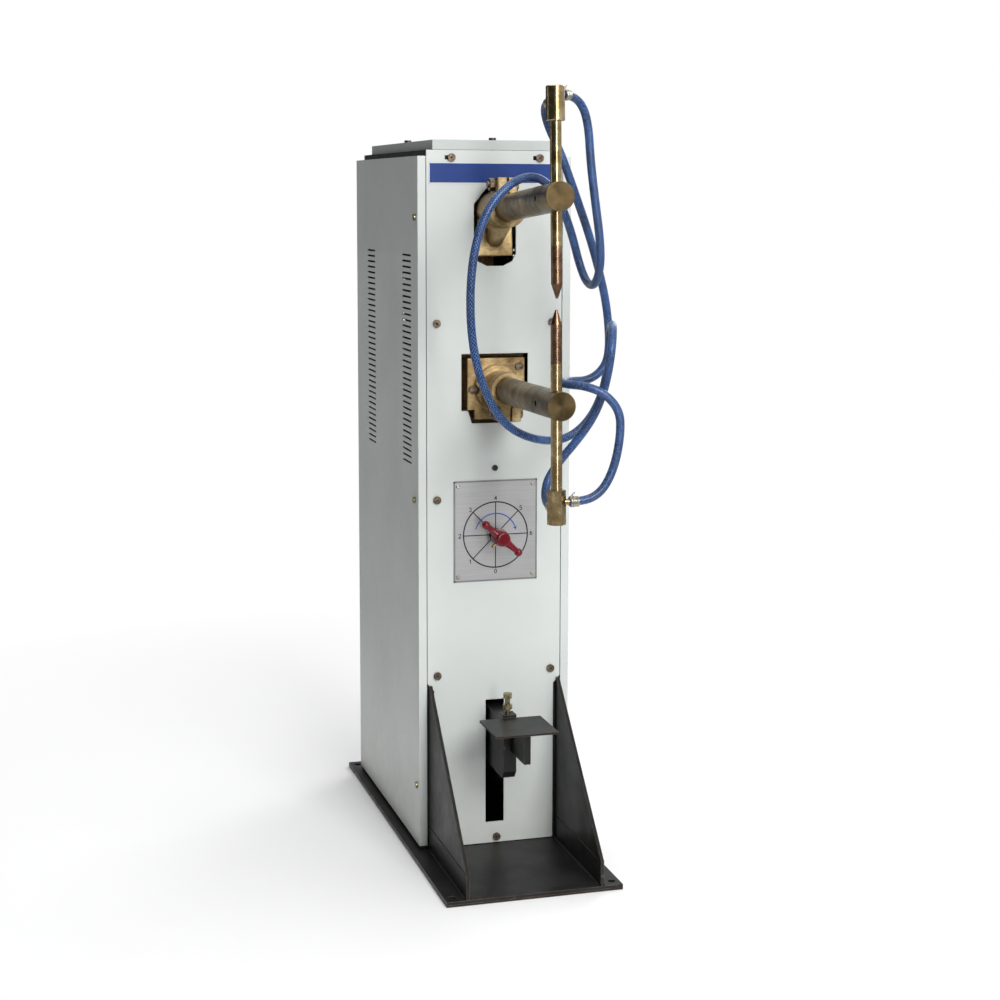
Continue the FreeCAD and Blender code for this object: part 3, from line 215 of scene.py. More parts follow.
def turned_bronze(name, axis_point):
    """Dull bronze bar, ringed on its end face by the lathe tool, with scratches along it."""
    p = Paint(name, metallic=1.0, roughness=0.36)
    x, y, z = p.split(p.stretch((1, 1, 1), offset=(-axis_point[0], 0.0, -axis_point[2])))
    ring = p.math("SQRT", p.math("ADD", p.math("MULTIPLY", x, x), p.math("MULTIPLY", z, z)))
    wave = p.math("SINE", p.math("MULTIPLY", ring, 9000.0))
    cloud = p.noise(22.0, 8.0, 0.6)
    base = p.ramp(cloud, (0.28, (0.085, 0.054, 0.022)), (0.55, (0.20, 0.136, 0.056)),
                  (0.78, (0.37, 0.27, 0.13)))
    stain = p.ramp(p.noise(9.0, 6.0, 0.7, p.stretch((1.0, 0.6, 1.0))), (0.42, 0.55), (0.60, 1.0))
    streak = p.ramp(p.noise(240.0, 3.0, 0.5, p.stretch((1.0, 14.0, 1.0))), (0.35, 0.70), (0.65, 1.0))
    p.set("Base Color", p.mix(0.6, p.mix(0.8, base, stain, "MULTIPLY"), streak, "MULTIPLY"))
    p.set("Roughness", p.ramp(p.noise(60.0, 5.0), (0.3, 0.26), (0.7, 0.48)))
    p.set("Anisotropic", 0.35)
    p.bump(p.math("MULTIPLY", wave, 0.5), 0.10, 0.0003, edge=0.0008)
    return p.material


def machined(name, dark, mid, light, rough=0.22, scale=40.0, streaks=(1.0, 1.0, 9.0)):
    """Bright machined metal: tarnish clouds, hairline marks."""
    p = Paint(name, metallic=1.0, roughness=rough)
    cloud = p.noise(scale, 7.0, 0.6)
    base = p.ramp(cloud, (0.28, dark), (0.52, mid), (0.76, light))
    line = p.ramp(p.noise(260.0, 2.0, 0.5, p.stretch(streaks)), (0.36, 0.78), (0.62, 1.0))
    p.set("Base Color", p.mix(0.7, base, line, "MULTIPLY"))
    p.set("Roughness", p.ramp(p.noise(scale * 2.0, 4.0), (0.3, rough - 0.04), (0.7, rough + 0.08)))
    p.bump(p.noise(500.0, 2.0, 0.5, p.stretch(streaks)), 0.02, 0.0002, edge=0.0004)
    return p.material


def faced_metal(name):
    """Lathe-faced bronze disc: fine rings and a radial sheen about its own middle."""
    p = Paint(name, metallic=1.0, roughness=0.40)
    x, y, _ = p.split()
    ring = p.math("SQRT", p.math("ADD", p.math("MULTIPLY", x, x), p.math("MULTIPLY", y, y)))
    base = p.ramp(p.noise(60.0, 6.0), (0.3, (0.045, 0.031, 0.015)), (0.7, (0.10, 0.071, 0.034)))
    p.set("Base Color", p.mix(0.5, base, p.ramp(p.noise(700.0, 2.0), (0.4, 0.7), (0.6, 1.0)), "MULTIPLY"))
    p.set("Anisotropic", 0.85)
    tangent = p.nodes.new("ShaderNodeTangent")
    tangent.direction_type = "RADIAL"
    tangent.axis = "Z"
    p.links.new(tangent.outputs["Tangent"], p.shader.inputs["Tangent"])
    p.bump(p.math("SINE", p.math("MULTIPLY", ring, 9000.0)), 0.10, 0.0002)
    return p.material


def plastic(name, dark, light, rough, coat=0.0):
    p = Paint(name, roughness=rough, coat=coat)
    p.set("Specular IOR Level", 0.25)
    p.set("Base Color", p.ramp(p.noise(30.0, 5.0), (0.35, dark), (0.65, light)))
    p.set("Roughness", p.ramp(p.noise(90.0, 4.0), (0.3, max(rough - 0.05, 0.05)), (0.7, rough + 0.08)))
    p.bump(p.noise(420.0, 3.0), 0.04, 0.0003, edge=0.0012)
    return p.material


def brushed_plate(name, light=0.62):
    """Brushed aluminium plate, its grain running across."""
    p = Paint(name, metallic=0.75, roughness=0.40)
    grain = p.noise(300.0, 3.0, 0.5, p.stretch((0.05, 1.0, 3.0)))
    p.set("Base Color", p.ramp(grain, (0.3, (light * 0.90,) * 3), (0.7, (light, light, light * 1.01))))
    p.set("Roughness", p.ramp(p.noise(40.0, 4.0), (0.3, 0.34), (0.7, 0.48)))
    p.bump(grain, 0.06, 0.0002)
    return p.material


def braided_hose(name):
    """Clear blue hose over white braid: helical threads each way whose bright flecks are painted glints,
    cloudy stress marks.
    """
    p = Paint(name, roughness=0.30, coat=0.20)
    p.set("Coat Roughness", 0.06)
    p.set("Specular IOR Level", 0.25)
    uv = p.nodes.new("ShaderNodeUVMap")
    parts = p.nodes.new("ShaderNodeSeparateXYZ")
    p.links.new(uv.outputs["UV"], parts.inputs[0])
    run, around = parts.outputs[0], parts.outputs[1]
    threads = None
    for sign in (1.0, -1.0):
        slope = p.math("ADD", p.math("MULTIPLY", run, THREADS), p.math("MULTIPLY", around, 8.0 * sign))
        wave = p.math("ABSOLUTE", p.math("SINE", p.math("MULTIPLY", slope, math.pi)))
        line = p.ramp(wave, (0.0, 1.0), (0.42, 0.0))
        threads = line if threads is None else p.math("MAXIMUM", threads, line)
    # the white braid threads are the hose's own; their bright flecks are painted glints
    painted_glint = p.ramp(p.noise(420.0, 3.0, 0.7), (0.40, 0.10), (0.62, 1.0))
    cloud = p.noise(30.0, 5.0, 0.6)
    base = p.ramp(cloud, (0.30, (0.003, 0.018, 0.075)), (0.55, (0.006, 0.038, 0.15)),
                  (0.80, (0.015, 0.075, 0.25)))
    marks = p.ramp(p.noise(15.0, 3.0), (0.64, 0.0), (0.74, 1.0))
    hazed = p.mix(p.math("MULTIPLY", marks, 0.35), base, (0.24, 0.40, 0.70))
    braid_painted_glints = p.math("MULTIPLY", threads, painted_glint)
    p.set("Base Color", p.mix(p.math("MULTIPLY", braid_painted_glints, 0.75), hazed, (0.36, 0.50, 0.76)))
    p.bump(p.math("ADD", threads, p.noise(120.0, 3.0)), 0.25, 0.0004)
    return p.material


def laminated(name):
    """Stacked transformer laminations."""
    p = Paint(name, metallic=0.8, roughness=0.45)
    y = p.split()[1]
    wave = p.math("SINE", p.math("MULTIPLY", y, 9000.0))
    p.set("Base Color", p.ramp(p.math("ADD", wave, p.noise(40.0)), (0.2, (0.05, 0.05, 0.055)),
                               (0.9, (0.20, 0.20, 0.21))))
    p.bump(wave, 0.3, 0.0004)
    return p.material


def taped(name):
    """Varnished cotton tape wound round a coil, with painted shade in the grooves between turns."""
    p = Paint(name, roughness=0.5, coat=0.3)
    z = p.split()[2]
    wave = p.math("ABSOLUTE", p.math("SINE", p.math("MULTIPLY", z, 320.0)))
    # the narrow dark bands between the turns are painted shade in the grooves
    shade = p.ramp(wave, (0.0, (0.16, 0.12, 0.06)), (0.25, (0.50, 0.42, 0.26)))
    p.set("Base Color", p.mix(0.5, shade, p.ramp(p.noise(300.0), (0.4, 0.6), (0.6, 1.0)), "MULTIPLY"))
    p.bump(p.math("ADD", wave, p.noise(500.0)), 0.4, 0.0006)
    return p.material


GREY = powder_coat("grey_powder_coat", (0.625, 0.66, 0.64))
# the lid's grey is the panels' powder coat darkened, as painted shade on the lid
LID_GREY_PAINTED_SHADE = powder_coat("lid_powder_coat_painted_shade", (0.505, 0.54, 0.525))
BLACK = black_steel("black_worn_steel", 0.75)
# black frame paint, also used on the louvre blades as painted shade
BLACK_CLEAN_AND_SHADE = black_steel("black_frame_steel_and_painted_shade", 0.25, rust=False)
CAST = cast_metal("sand_cast_bronze")
UPPER_BAR = turned_bronze("upper_bar_bronze", (0.0, 0.0, 1.0209))
LOWER_BAR = turned_bronze("lower_bar_bronze", (0.0, 0.0, 0.7337))
FACED = faced_metal("lathe_faced_bronze")
BRASS = machined("polished_brass", (0.24, 0.16, 0.07), (0.44, 0.33, 0.165), (0.74, 0.61, 0.38), 0.21)
COPPER = machined("brown_copper", (0.13, 0.070, 0.042), (0.29, 0.175, 0.105), (0.46, 0.32, 0.21), 0.26)
SCREW = machined("brown_plated_screw", (0.05, 0.036, 0.026), (0.15, 0.115, 0.080), (0.36, 0.30, 0.22),
                 0.32, 160.0)
YELLOW_ZINC = machined("yellow_zinc_screw", (0.14, 0.11, 0.05), (0.34, 0.29, 0.16), (0.62, 0.56, 0.38),
                       0.24, 160.0)
ZINC = machined("zinc_plated_steel", (0.34, 0.31, 0.24), (0.58, 0.55, 0.46), (0.78, 0.76, 0.70), 0.28)
STEEL = machined("oiled_ground_steel", (0.10, 0.10, 0.105), (0.20, 0.20, 0.21), (0.34, 0.34, 0.35), 0.34)
SPRING = machined("oiled_spring_steel", (0.06, 0.06, 0.065), (0.14, 0.14, 0.15), (0.25, 0.25, 0.26), 0.3)
RED = plastic("glossy_red_plastic", (0.12, 0.0012, 0.006), (0.19, 0.002, 0.012), 0.18, 0.35)
BLACK_PLASTIC = plastic("black_moulded_plastic", (0.012, 0.012, 0.013), (0.03, 0.03, 0.032), 0.45)
DIAL_METAL = brushed_plate("brushed_dial_plate", 0.40)
BOARD = plastic("laminate_board", (0.13, 0.07, 0.03), (0.24, 0.15, 0.07), 0.5)
BAND = plastic("blue_printed_film", (0.005, 0.034, 0.19), (0.007, 0.040, 0.215), 0.35, 0.05)
# dark ink for the dial print, also used as painted shade in the screw recesses
INK_AND_PAINTED_SHADE = plastic("dark_ink_and_painted_shade", (0.006, 0.008, 0.012), (0.014, 0.018, 0.024), 0.6)
BLUE_INK = plastic("blue_printed_ink", (0.02, 0.07, 0.34), (0.03, 0.10, 0.42), 0.45)
EDGE_INK = plastic("grey_printed_ink", (0.16, 0.165, 0.17), (0.22, 0.225, 0.23), 0.45)
WHITE_INK = plastic("white_printed_ink", (0.62, 0.63, 0.64), (0.74, 0.75, 0.76), 0.5)
HOSE = braided_hose("braided_blue_hose")
CORE = laminated("core_laminations")
TAPE = taped("coil_tape")

NODE_PAINT = {
    GREY: "front_panel rear_panel side_cover_left side_cover_right",
    LID_GREY_PAINTED_SHADE: "top_cover",
    BLACK: "base_plate foot_bars gusset_left gusset_right pedal_lever pedal_tread",
    BLACK_CLEAN_AND_SHADE: "corner_posts top_frame side_rails cross_beams holder_cross_plate pivot_bracket pedal_stand "
                 "rod_guide",
    CAST: "upper_holder lower_holder",
    UPPER_BAR: "upper_arm",
    LOWER_BAR: "lower_arm",
    BRASS: "upper_electrode_tube lower_electrode_tube upper_cap lower_nut knob_grub_screw",
    COPPER: "upper_electrode_tip lower_electrode_tip secondary_bars copper_shunt",
    SCREW: "panel_screws holder_screws upper_clamp_bolt lower_clamp_bolt",
    YELLOW_ZINC: "side_screws tread_screw",
    ZINC: "tail_adjuster dial_rivets upper_wire_clamps lower_wire_clamps",
    STEEL: "rocker_shaft pedal_shaft push_rod knob_spindle",
    SPRING: "pressure_spring pedal_return_spring rocker_return_spring",
    RED: "knob",
    BLACK_PLASTIC: "tap_switch hole_plug cable_gland",
    DIAL_METAL: "dial_plate",
    BAND: "name_band",
    BOARD: "insulating_board",
    CORE: "transformer_core",
    TAPE: "transformer_coil",
}
for material, names in NODE_PAINT.items():
    for name in names.split():
        mesh = NODES[name].data
        for index in range(len(mesh.materials)):
            mesh.materials[index] = material


# ---------------------------------------------------------------- hoses
def hose(name, points_mm, node, body):
    """Hose as a spline through its route points, bevelled to the tube's size."""
    curve = bpy.data.curves.new(name, "CURVE")
    curve.dimensions = "3D"
    spline = curve.splines.new("NURBS")
    spline.points.add(len(points_mm) - 1)
    for point, (x, y, z) in zip(spline.points, points_mm):
        point.co = (x / 1000, y / 1000, z / 1000, 1.0)
    spline.order_u = 3
    spline.use_endpoint_u = True
    curve.resolution_u = 10
    curve.bevel_depth = 0.006
    curve.bevel_resolution = 6
    curve.use_fill_caps = True
    curve.materials.append(HOSE)
    obj = bpy.data.objects.new(name, curve)
    bpy.context.scene.collection.objects.link(obj)
    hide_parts(node)
    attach(obj, body)
    return obj


UPPER_ROUTE = [
    (15.32, -411.14, 1154.01), (36, -393.8, 1154), (55, -383, 1138), (63, -380, 1108), (65, -382, 1067),
    (71, -384, 1015), (79, -385, 958), (82, -380, 921), (83, -355, 892), (83, -318, 892), (79, -293, 921),
    (68, -298, 957), (50, -315, 993), (29, -326, 1029), (-4, -333, 1048), (-42, -340, 1033), (-76, -346, 995),
    (-95, -349, 935), (-98, -344, 865), (-90, -334, 800), (-70, -322, 740), (-38, -310, 692), (8, -302, 668),
    (58, -296, 664), (100, -287, 692), (126, -277, 740), (135, -270, 800), (128, -275, 860), (109, -291, 915),
    (85, -316, 966), (61, -337, 1012), (45, -346, 1047), (31, -349, 1080), (16, -348, 1109), (5, -360, 1131),
    (0, -380.6, 1143), (0, -404.5, 1143.02)]
LOWER_ROUTE = [
    (18.25, -439.82, 598.99), (40.4, -439.8, 599), (61, -438, 607), (76, -436, 624), (88, -434, 652),
    (95, -433, 690), (94, -432, 722), (73, -428, 747), (46, -420, 757), (28, -397, 757), (28, -365, 757),
    (50, -341, 756), (83, -338, 756), (107, -339, 778), (110, -340, 814), (104, -364, 838), (95, -397, 838),
    (86, -420, 814), (82, -419, 780), (79, -403, 742), (70, -388, 708), (52, -374, 676), (30, -366, 648),
    (11, -364, 621), (3, -375, 600), (0, -397, 588), (0, -421.81, 588)]
upper = hose("upper_cooling_hose", UPPER_ROUTE, "upper_hose", "rocker")
lower = hose("lower_cooling_hose", LOWER_ROUTE, "lower_hose", "frame")


# ---------------------------------------------------------------- printed and small pieces
def add_piece(name, verts, faces, material, body, smooth=False):
    """Mesh from points in millimetres, riding a body."""
    mesh = bpy.data.meshes.new(name)
    mesh.from_pydata([(x / 1000, y / 1000, z / 1000) for x, y, z in verts], [], faces)
    mesh.materials.append(material)
    for polygon in mesh.polygons:
        polygon.use_smooth = smooth
    obj = bpy.data.objects.new(name, mesh)
    bpy.context.scene.collection.objects.link(obj)
    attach(obj, body)
    return obj


class Print:
    """Flat artwork a little proud of a face that looks towards -Y."""

    def __init__(self, y, thickness=0.12):
        self.front = y - thickness
        self.verts = []
        self.faces = []

    def patch(self, corners):
        first = len(self.verts)
        self.verts += [(x, self.front, z) for x, z in corners]
        self.faces.append(tuple(range(first, first + len(corners))))

    def line(self, a, b, width):
        along = Vector((b[0] - a[0], b[1] - a[1])).normalized()
        side = Vector((-along.y, along.x)) * width / 2
        self.patch([(a[0] - side.x, a[1] - side.y), (b[0] - side.x, b[1] - side.y),
                    (b[0] + side.x, b[1] + side.y), (a[0] + side.x, a[1] + side.y)])

    def arc(self, centre, radius, width, start, end, steps=72):
        """Band along a circle between two angles in degrees."""
        for i in range(steps):
            low = math.radians(start + (end - start) * i / steps)
            high = math.radians(start + (end - start) * (i + 1) / steps)
            ring = [(radius - width / 2, low), (radius + width / 2, low), (radius + width / 2, high),
                    (radius - width / 2, high)]
            self.patch([(centre[0] + r * math.cos(a), centre[1] + r * math.sin(a)) for r, a in ring])

    def frame(self, x0, x1, z0, z1, width):
        half = width / 2
        for a, b in (((x0, z0 + half), (x1, z0 + half)), ((x0, z1 - half), (x1, z1 - half)),
                     ((x0 + half, z0), (x0 + half, z1)), ((x1 - half, z0), (x1 - half, z1))):
            self.line(a, b, width)

    def make(self, name, material, body):
        return add_piece(name, self.verts, self.faces, material, body)


def millimetres(node):
    low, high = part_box(node)
    return low * 1000, high * 1000


plate_low, plate_high = millimetres("dial_plate")
PLATE_Y = plate_low.y
DIAL = ((plate_low.x + plate_high.x) / 2, 499.6)
RING_R = 51.0
print_black = Print(PLATE_Y)
print_black.arc(DIAL, RING_R, 2.0, 0, 360, 96)
for number in range(7):
    angle = math.radians(270 - 45 * number)
    tip = (DIAL[0] + RING_R * math.cos(angle), DIAL[1] + RING_R * math.sin(angle))
    root = (DIAL[0] + 7 * math.cos(angle), DIAL[1] + 7 * math.sin(angle))
    print_black.line(root, tip, 1.5)
print_black.arc(DIAL, 9.0, 2.2, 0, 360, 40)
print_black.make("dial_ring_print", INK_AND_PAINTED_SHADE, "frame")

print_edge = Print(PLATE_Y)
print_edge.frame(plate_low.x, plate_high.x, plate_low.z, plate_high.z, 2.4)
print_edge.make("dial_border_print", EDGE_INK, "frame")

print_arrow = Print(PLATE_Y, 0.2)
print_arrow.arc(DIAL, 33.0, 1.7, 163, 22, 48)
end = math.radians(20)
nose = math.radians(11)
point = (DIAL[0] + 33 * math.cos(nose), DIAL[1] + 33 * math.sin(nose))
print_arrow.patch([point, (DIAL[0] + 36 * math.cos(end), DIAL[1] + 36 * math.sin(end)),
                   (DIAL[0] + 30 * math.cos(end), DIAL[1] + 30 * math.sin(end))])
print_arrow.make("dial_arrow_print", BLUE_INK, "frame")



def bow(x, y, rx, ry, start, end, steps=14):
    """Points along part of an ellipse, angles in degrees."""
    return [(x + rx * math.cos(math.radians(start + (end - start) * i / steps)),
             y + ry * math.sin(math.radians(start + (end - start) * i / steps))) for i in range(steps + 1)]


# strokes of each figure in a cell one wide and one high
FIGURES = [
    [bow(0.5, 0.5, 0.42, 0.5, 0, 360, 28)],
    [[(0.22, 0.78), (0.58, 1.0), (0.58, 0.0)]],
    [bow(0.5, 0.70, 0.42, 0.30, 165, -35) + [(0.06, 0.0), (0.96, 0.0)]],
    [bow(0.46, 0.75, 0.40, 0.25, 150, -90), bow(0.46, 0.26, 0.46, 0.26, 90, -150)],
    [[(0.72, 0.0), (0.72, 1.0), (0.03, 0.30), (1.0, 0.30)]],
    [[(0.90, 1.0), (0.20, 1.0), (0.14, 0.55)] + bow(0.47, 0.32, 0.45, 0.32, 130, -150)],
    [bow(0.5, 0.31, 0.43, 0.31, 0, 360, 24), [(0.08, 0.36), (0.24, 0.76), (0.66, 1.0)]],
]
FIGURE_W, FIGURE_H = 4.0, 6.2
figures = Print(PLATE_Y, 0.25)
for number, strokes in enumerate(FIGURES):
    angle = math.radians(270 - 45 * number)
    left = DIAL[0] + 57.0 * math.cos(angle) - FIGURE_W / 2
    base = DIAL[1] + 57.0 * math.sin(angle) - FIGURE_H / 2
    for stroke in strokes:
        spots = [(left + FIGURE_W * u, base + FIGURE_H * v) for u, v in stroke]
        for start, stop in zip(spots, spots[1:]):
            figures.line(start, stop, 1.15)
figures.make("dial_figures", INK_AND_PAINTED_SHADE, "frame")

band_low, band_high = millimetres("name_band")
band_print = Print(band_low.y)
band_print.frame(band_low.x, band_high.x, band_low.z, band_high.z, 1.2)
band_print.make("band_border_print", WHITE_INK, "frame")


def painted_recess_shade(name, spots, direction, size=4.6):
    """Painted shade in the cross recesses of screw heads, as flat dark crosses; spots are head centres,
    direction the way they face.
    """
    verts, faces = [], []
    normal = Vector(direction)
    side = Vector((0, 0, 1)) if abs(normal.z) < 0.5 else Vector((1, 0, 0))
    other = normal.cross(side)
    for spot in spots:
        turn = random.uniform(0, math.pi / 2)
        a = side * math.cos(turn) + other * math.sin(turn)
        b = normal.cross(a)
        for along, across in ((a, b), (b, a)):
            first = len(verts)
            centre = Vector(spot) + normal * 0.06
            for u, v in ((-1, -1), (1, -1), (1, 1), (-1, 1)):
                verts.append(tuple(centre + along * u * size / 2 + across * v * 0.55))
            faces.append((first, first + 1, first + 2, first + 3))
    return add_piece(name, verts, faces, INK_AND_PAINTED_SHADE, "frame")


PANEL_Y = FRONT_Y * 1000
SCREW_TOP = 3.6
PANEL_SCREWS = [(-91, 283), (91, 283), (-91, 557), (91, 557), (-91, 826), (91, 826), (-68, 1074), (70, 1074),
                (4, 18.5)]
# flat dark crosses on the screw heads are painted shade standing in for their recesses
painted_recess_shade("panel_screw_recess_shade", [(x, PANEL_Y - SCREW_TOP, z) for x, z in PANEL_SCREWS], (0, -1, 0))
SIDE_SCREWS = [(-113, 985), (-105, 555), (-113, 108)]
SIDE_X = COVER_X * 1000
for side_name, sign in (("left", -1), ("right", 1)):
    spots = [(sign * (abs(SIDE_X) + 3.4), y, z) for y, z in SIDE_SCREWS]
    painted_recess_shade("side_screw_recess_shade_" + side_name, spots, (sign, 0, 0), 4.0)


def lathe(name, start, end, profile, material, body, nodes=(), around=64):
    """Smooth turned piece from start towards end (mm).

    The profile lists (distance, radius), with None where a sharp step starts a new run.
    """
    a = Vector(start)
    direction = (Vector(end) - a).normalized()
    side = direction.orthogonal().normalized()
    other = direction.cross(side)
    verts, faces = [], []
    previous = None
    for step in profile:
        if step is None:
            previous = None
            continue
        distance, radius = step
        first = len(verts)
        for k in range(around):
            angle = 2 * math.pi * k / around
            spoke = side * math.cos(angle) + other * math.sin(angle)
            verts.append(tuple(a + direction * distance + spoke * radius))
        if previous is not None:
            for k in range(around):
                n = (k + 1) % around
                faces.append((previous + k, first + k, first + n, previous + n))
        previous = first
    obj = add_piece(name, verts, faces, material, body, smooth=True)
    if nodes:
        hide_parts(*nodes)
    return obj


def stepped(*points):
    """Profile whose corners stay sharp: every run gets its own rings."""
    profile = []
    for low, high in zip(points, points[1:]):
        profile += [low, high, None]
    return profile


TUBE_R, TIP_R, CONE_LEN = 8.0, 1.6, 20
AXIS_R = 0.01  # stands for zero where a profile meets its axis
U_TIP, U_END = (0, -436.5, 879.0), (0, -423.5, 1165.0)
L_TIP, L_END = (0, -434.0, 863.5), (0, -440.5, 568.0)
UPPER_LONG = (Vector(U_END) - Vector(U_TIP)).length
LOWER_LONG = (Vector(L_END) - Vector(L_TIP)).length
for label, tip, end, joint, stop, body in (("upper", U_TIP, U_END, 71.0, UPPER_LONG - 33.0, "rocker"),
                                           ("lower", L_TIP, L_END, 74.0, LOWER_LONG - 34.0, "frame")):
    point = stepped((0, AXIS_R), (0, TIP_R), (CONE_LEN, TUBE_R), (joint, TUBE_R))
    lathe(label + "_tip_turned", tip, end, point, COPPER, body, [label + "_electrode_tip"])
    tube = stepped((joint, 7.0), (joint, TUBE_R), (stop, TUBE_R))
    lathe(label + "_tube_turned", tip, end, tube, BRASS, body, [label + "_electrode_tube"])
lathe("upper_cap_turned", U_END, U_TIP,
      stepped((0, AXIS_R), (0, 11.6), (0.5, 12.5), (1.4, 13.0), (45.6, 13.0), (46.5, 12.5), (47, 11.6),
              (47, TUBE_R)),
      BRASS, "rocker")


def disc(name, centre, tilt, radius, body):
    """Faced disc on the end of an arm, tilted back in degrees, with the lathe's radial sheen."""
    around, rings = 96, 24
    verts = [(0.0, 0.0, 0.0)]
    faces = []
    for i in range(1, rings + 1):
        for k in range(around):
            angle = 2 * math.pi * k / around
            r = radius * i / rings / 1000
            verts.append((r * math.cos(angle), r * math.sin(angle), 0.0))
    for k in range(around):
        faces.append((0, 1 + k, 1 + (k + 1) % around))
    for i in range(rings - 1):
        for k in range(around):
            n = (k + 1) % around
            low, high = 1 + i * around, 1 + (i + 1) * around
            faces.append((low + k, high + k, high + n, low + n))
    mesh = bpy.data.meshes.new(name)
    mesh.from_pydata(verts, [], faces)
    mesh.materials.append(FACED)
    obj = bpy.data.objects.new(name, mesh)
    bpy.context.scene.collection.objects.link(obj)
    obj.rotation_euler = (math.pi / 2 - math.radians(tilt), 0, 0)
    obj.location = [c / 1000 for c in centre]
    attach(obj, body)


DISC_R = 19.4  # a little inside the arm's own radius of 20
disc("upper_arm_face", (0, -450.25, 1017.41), 4.0, DISC_R, "rocker")
disc("lower_arm_face", (0, -461.25, 733.70), 1.0, DISC_R, "frame")

# knob: rounded hub with two arms that end in balls; distances are in front of the panel
KNOB_TURN = math.radians(139.0)
KNOB_BACK, KNOB_ARMS, KNOB_FACE = 23, 38, 47
ARM_REACH, BALL_R = 34, 6.4
knob_x, knob_y, knob_z = DIAL[0], FRONT_Y * 1000, DIAL[1]
lathe("knob_hub", (knob_x, knob_y - KNOB_BACK, knob_z), (knob_x, knob_y - KNOB_FACE, knob_z),
      [(0, 10.0), (0.2, 13.2), (1.2, 13.5), (10, 12.6), (21.5, 11.2), (23.2, 10.4), (23.9, 9.0), (24.0, 7.0),
       (24.0, AXIS_R)], RED, "selector", ["knob"])
arms_y = knob_y - KNOB_ARMS
dome = [(BALL_R * (1 - math.cos(math.pi * i / 16)), max(BALL_R * math.sin(math.pi * i / 16), AXIS_R))
        for i in range(17)]
for sign in (-1, 1):
    ball = (knob_x + sign * ARM_REACH * math.cos(KNOB_TURN), arms_y,
            knob_z + sign * ARM_REACH * math.sin(KNOB_TURN))
    lathe("knob_arm_%d" % (sign + 1), (knob_x, arms_y, knob_z), ball,
          [(0, 7.4), (10, 6.9), (16, 5.4), (24, 4.5), (29, 4.4), (31, 4.8)], RED, "selector")
    inner = tuple(c + (k - c) * BALL_R / ARM_REACH for c, k in zip(ball, (knob_x, arms_y, knob_z)))
    lathe("knob_ball_%d" % (sign + 1), inner, ball, dome, RED, "selector")


def weld(name, start, end, radius, body="frame"):
    """Rippled weld bead between two points in millimetres."""
    a, b = Vector(start), Vector(end)
    direction = (b - a).normalized()
    side = direction.orthogonal().normalized()
    other = direction.cross(side)
    count = int((b - a).length / 0.9)
    around = 10
    verts, faces = [], []
    for i in range(count + 1):
        swell = 1.0 + 0.22 * abs(math.sin(i * 0.9)) + random.uniform(-0.10, 0.10)
        centre = a + (b - a) * i / count
        for k in range(around):
            angle = 2 * math.pi * k / around
            spoke = side * math.cos(angle) + other * math.sin(angle)
            verts.append(tuple(centre + spoke * radius * swell))
        if i:
            low, high = (i - 1) * around, i * around
            for k in range(around):
                n = (k + 1) % around
                faces.append((low + k, low + n, high + n, high + k))
    return add_piece(name, verts, faces, BLACK, body, smooth=True)


# the pressed blade behind each louvre slot, sloping in and down from its upper edge; it is black instead of
# the cover's grey, as painted shade inside the slots
LOUVRE_LEN, LOUVRE_GAP, LOUVRE_PITCH, LOUVRE_ROWS, LOUVRE_Z = 57.0, 3.0, 9.1, 36, 607.0
LOUVRE_COLUMNS = (-82.0, 173.0)
for side_name, sign in (("left", -1), ("right", 1)):
    verts, faces = [], []
    outer, inner = sign * (abs(SIDE_X) - 1.7), sign * (abs(SIDE_X) - 6.5)
    for y in LOUVRE_COLUMNS:
        for row in range(LOUVRE_ROWS):
            z = LOUVRE_Z + LOUVRE_PITCH * row
            first = len(verts)
            verts += [(outer, y - 1, z + LOUVRE_GAP + 0.6), (outer, y + LOUVRE_LEN + 1, z + LOUVRE_GAP + 0.6),
                      (inner, y + LOUVRE_LEN + 1, z - 3.4), (inner, y - 1, z - 3.4)]
            faces.append((first, first + 1, first + 2, first + 3))
    add_piece("louvre_blades_painted_shade_" + side_name, verts, faces, BLACK_CLEAN_AND_SHADE, "frame")


def wire_wrap(name, start, toward, body, turns=8, length=13.0):
    """Soft wire wound tightly round the end of a hose, from start towards a second point (mm)."""
    a = Vector(start)
    direction = (Vector(toward) - a).normalized()
    side = direction.orthogonal().normalized()
    other = direction.cross(side)
    steps = turns * 16
    curve = bpy.data.curves.new(name, "CURVE")
    curve.dimensions = "3D"
    curve.bevel_depth = 0.00075
    curve.bevel_resolution = 2
    spline = curve.splines.new("POLY")
    spline.points.add(steps)
    for i, point in enumerate(spline.points):
        angle = 2 * math.pi * turns * i / steps
        radius = 6.7 + random.uniform(-0.12, 0.12)
        spoke = side * math.cos(angle) + other * math.sin(angle)
        reach = 1.0 + length * i / steps + random.uniform(-0.25, 0.25)
        spot = (a + direction * reach + spoke * radius) / 1000
        point.co = (spot.x, spot.y, spot.z, 1.0)
    curve.materials.append(ZINC)
    obj = bpy.data.objects.new(name, curve)
    bpy.context.scene.collection.objects.link(obj)
    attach(obj, body)


for hose_name, route, body in (("upper", UPPER_ROUTE, "rocker"), ("lower", LOWER_ROUTE, "frame")):
    wire_wrap("wire_wrap_%s_side" % hose_name, route[0], route[1], body)
    wire_wrap("wire_wrap_%s_back" % hose_name, route[-1], route[-2], body)


# beads along the foot of each floor rail, and along the seam between the rail and its gusset
PLATE_TOP, SEAM_Z = 8.0, 45
RAIL_FRONT, RAIL_BACK = -350, -130
for side_name, sign in (("left", -1), ("right", 1)):
    for edge_name, x in (("inner", 99.2), ("outer", 105.8)):
        weld("weld_base_%s_%s" % (side_name, edge_name), (sign * x, RAIL_FRONT, PLATE_TOP),
             (sign * x, RAIL_BACK, PLATE_TOP), 2.0)
    for label, x in (("weld_rail_", 99.9), ("weld_rail_outer_", 105.1)):
        weld(label + side_name, (sign * x, RAIL_FRONT, SEAM_Z), (sign * x, RAIL_BACK, SEAM_Z), 0.9)
weld("weld_tread", (2, -211.5, 227.6), (2, -283, 227.6), 1.4, "pedal")


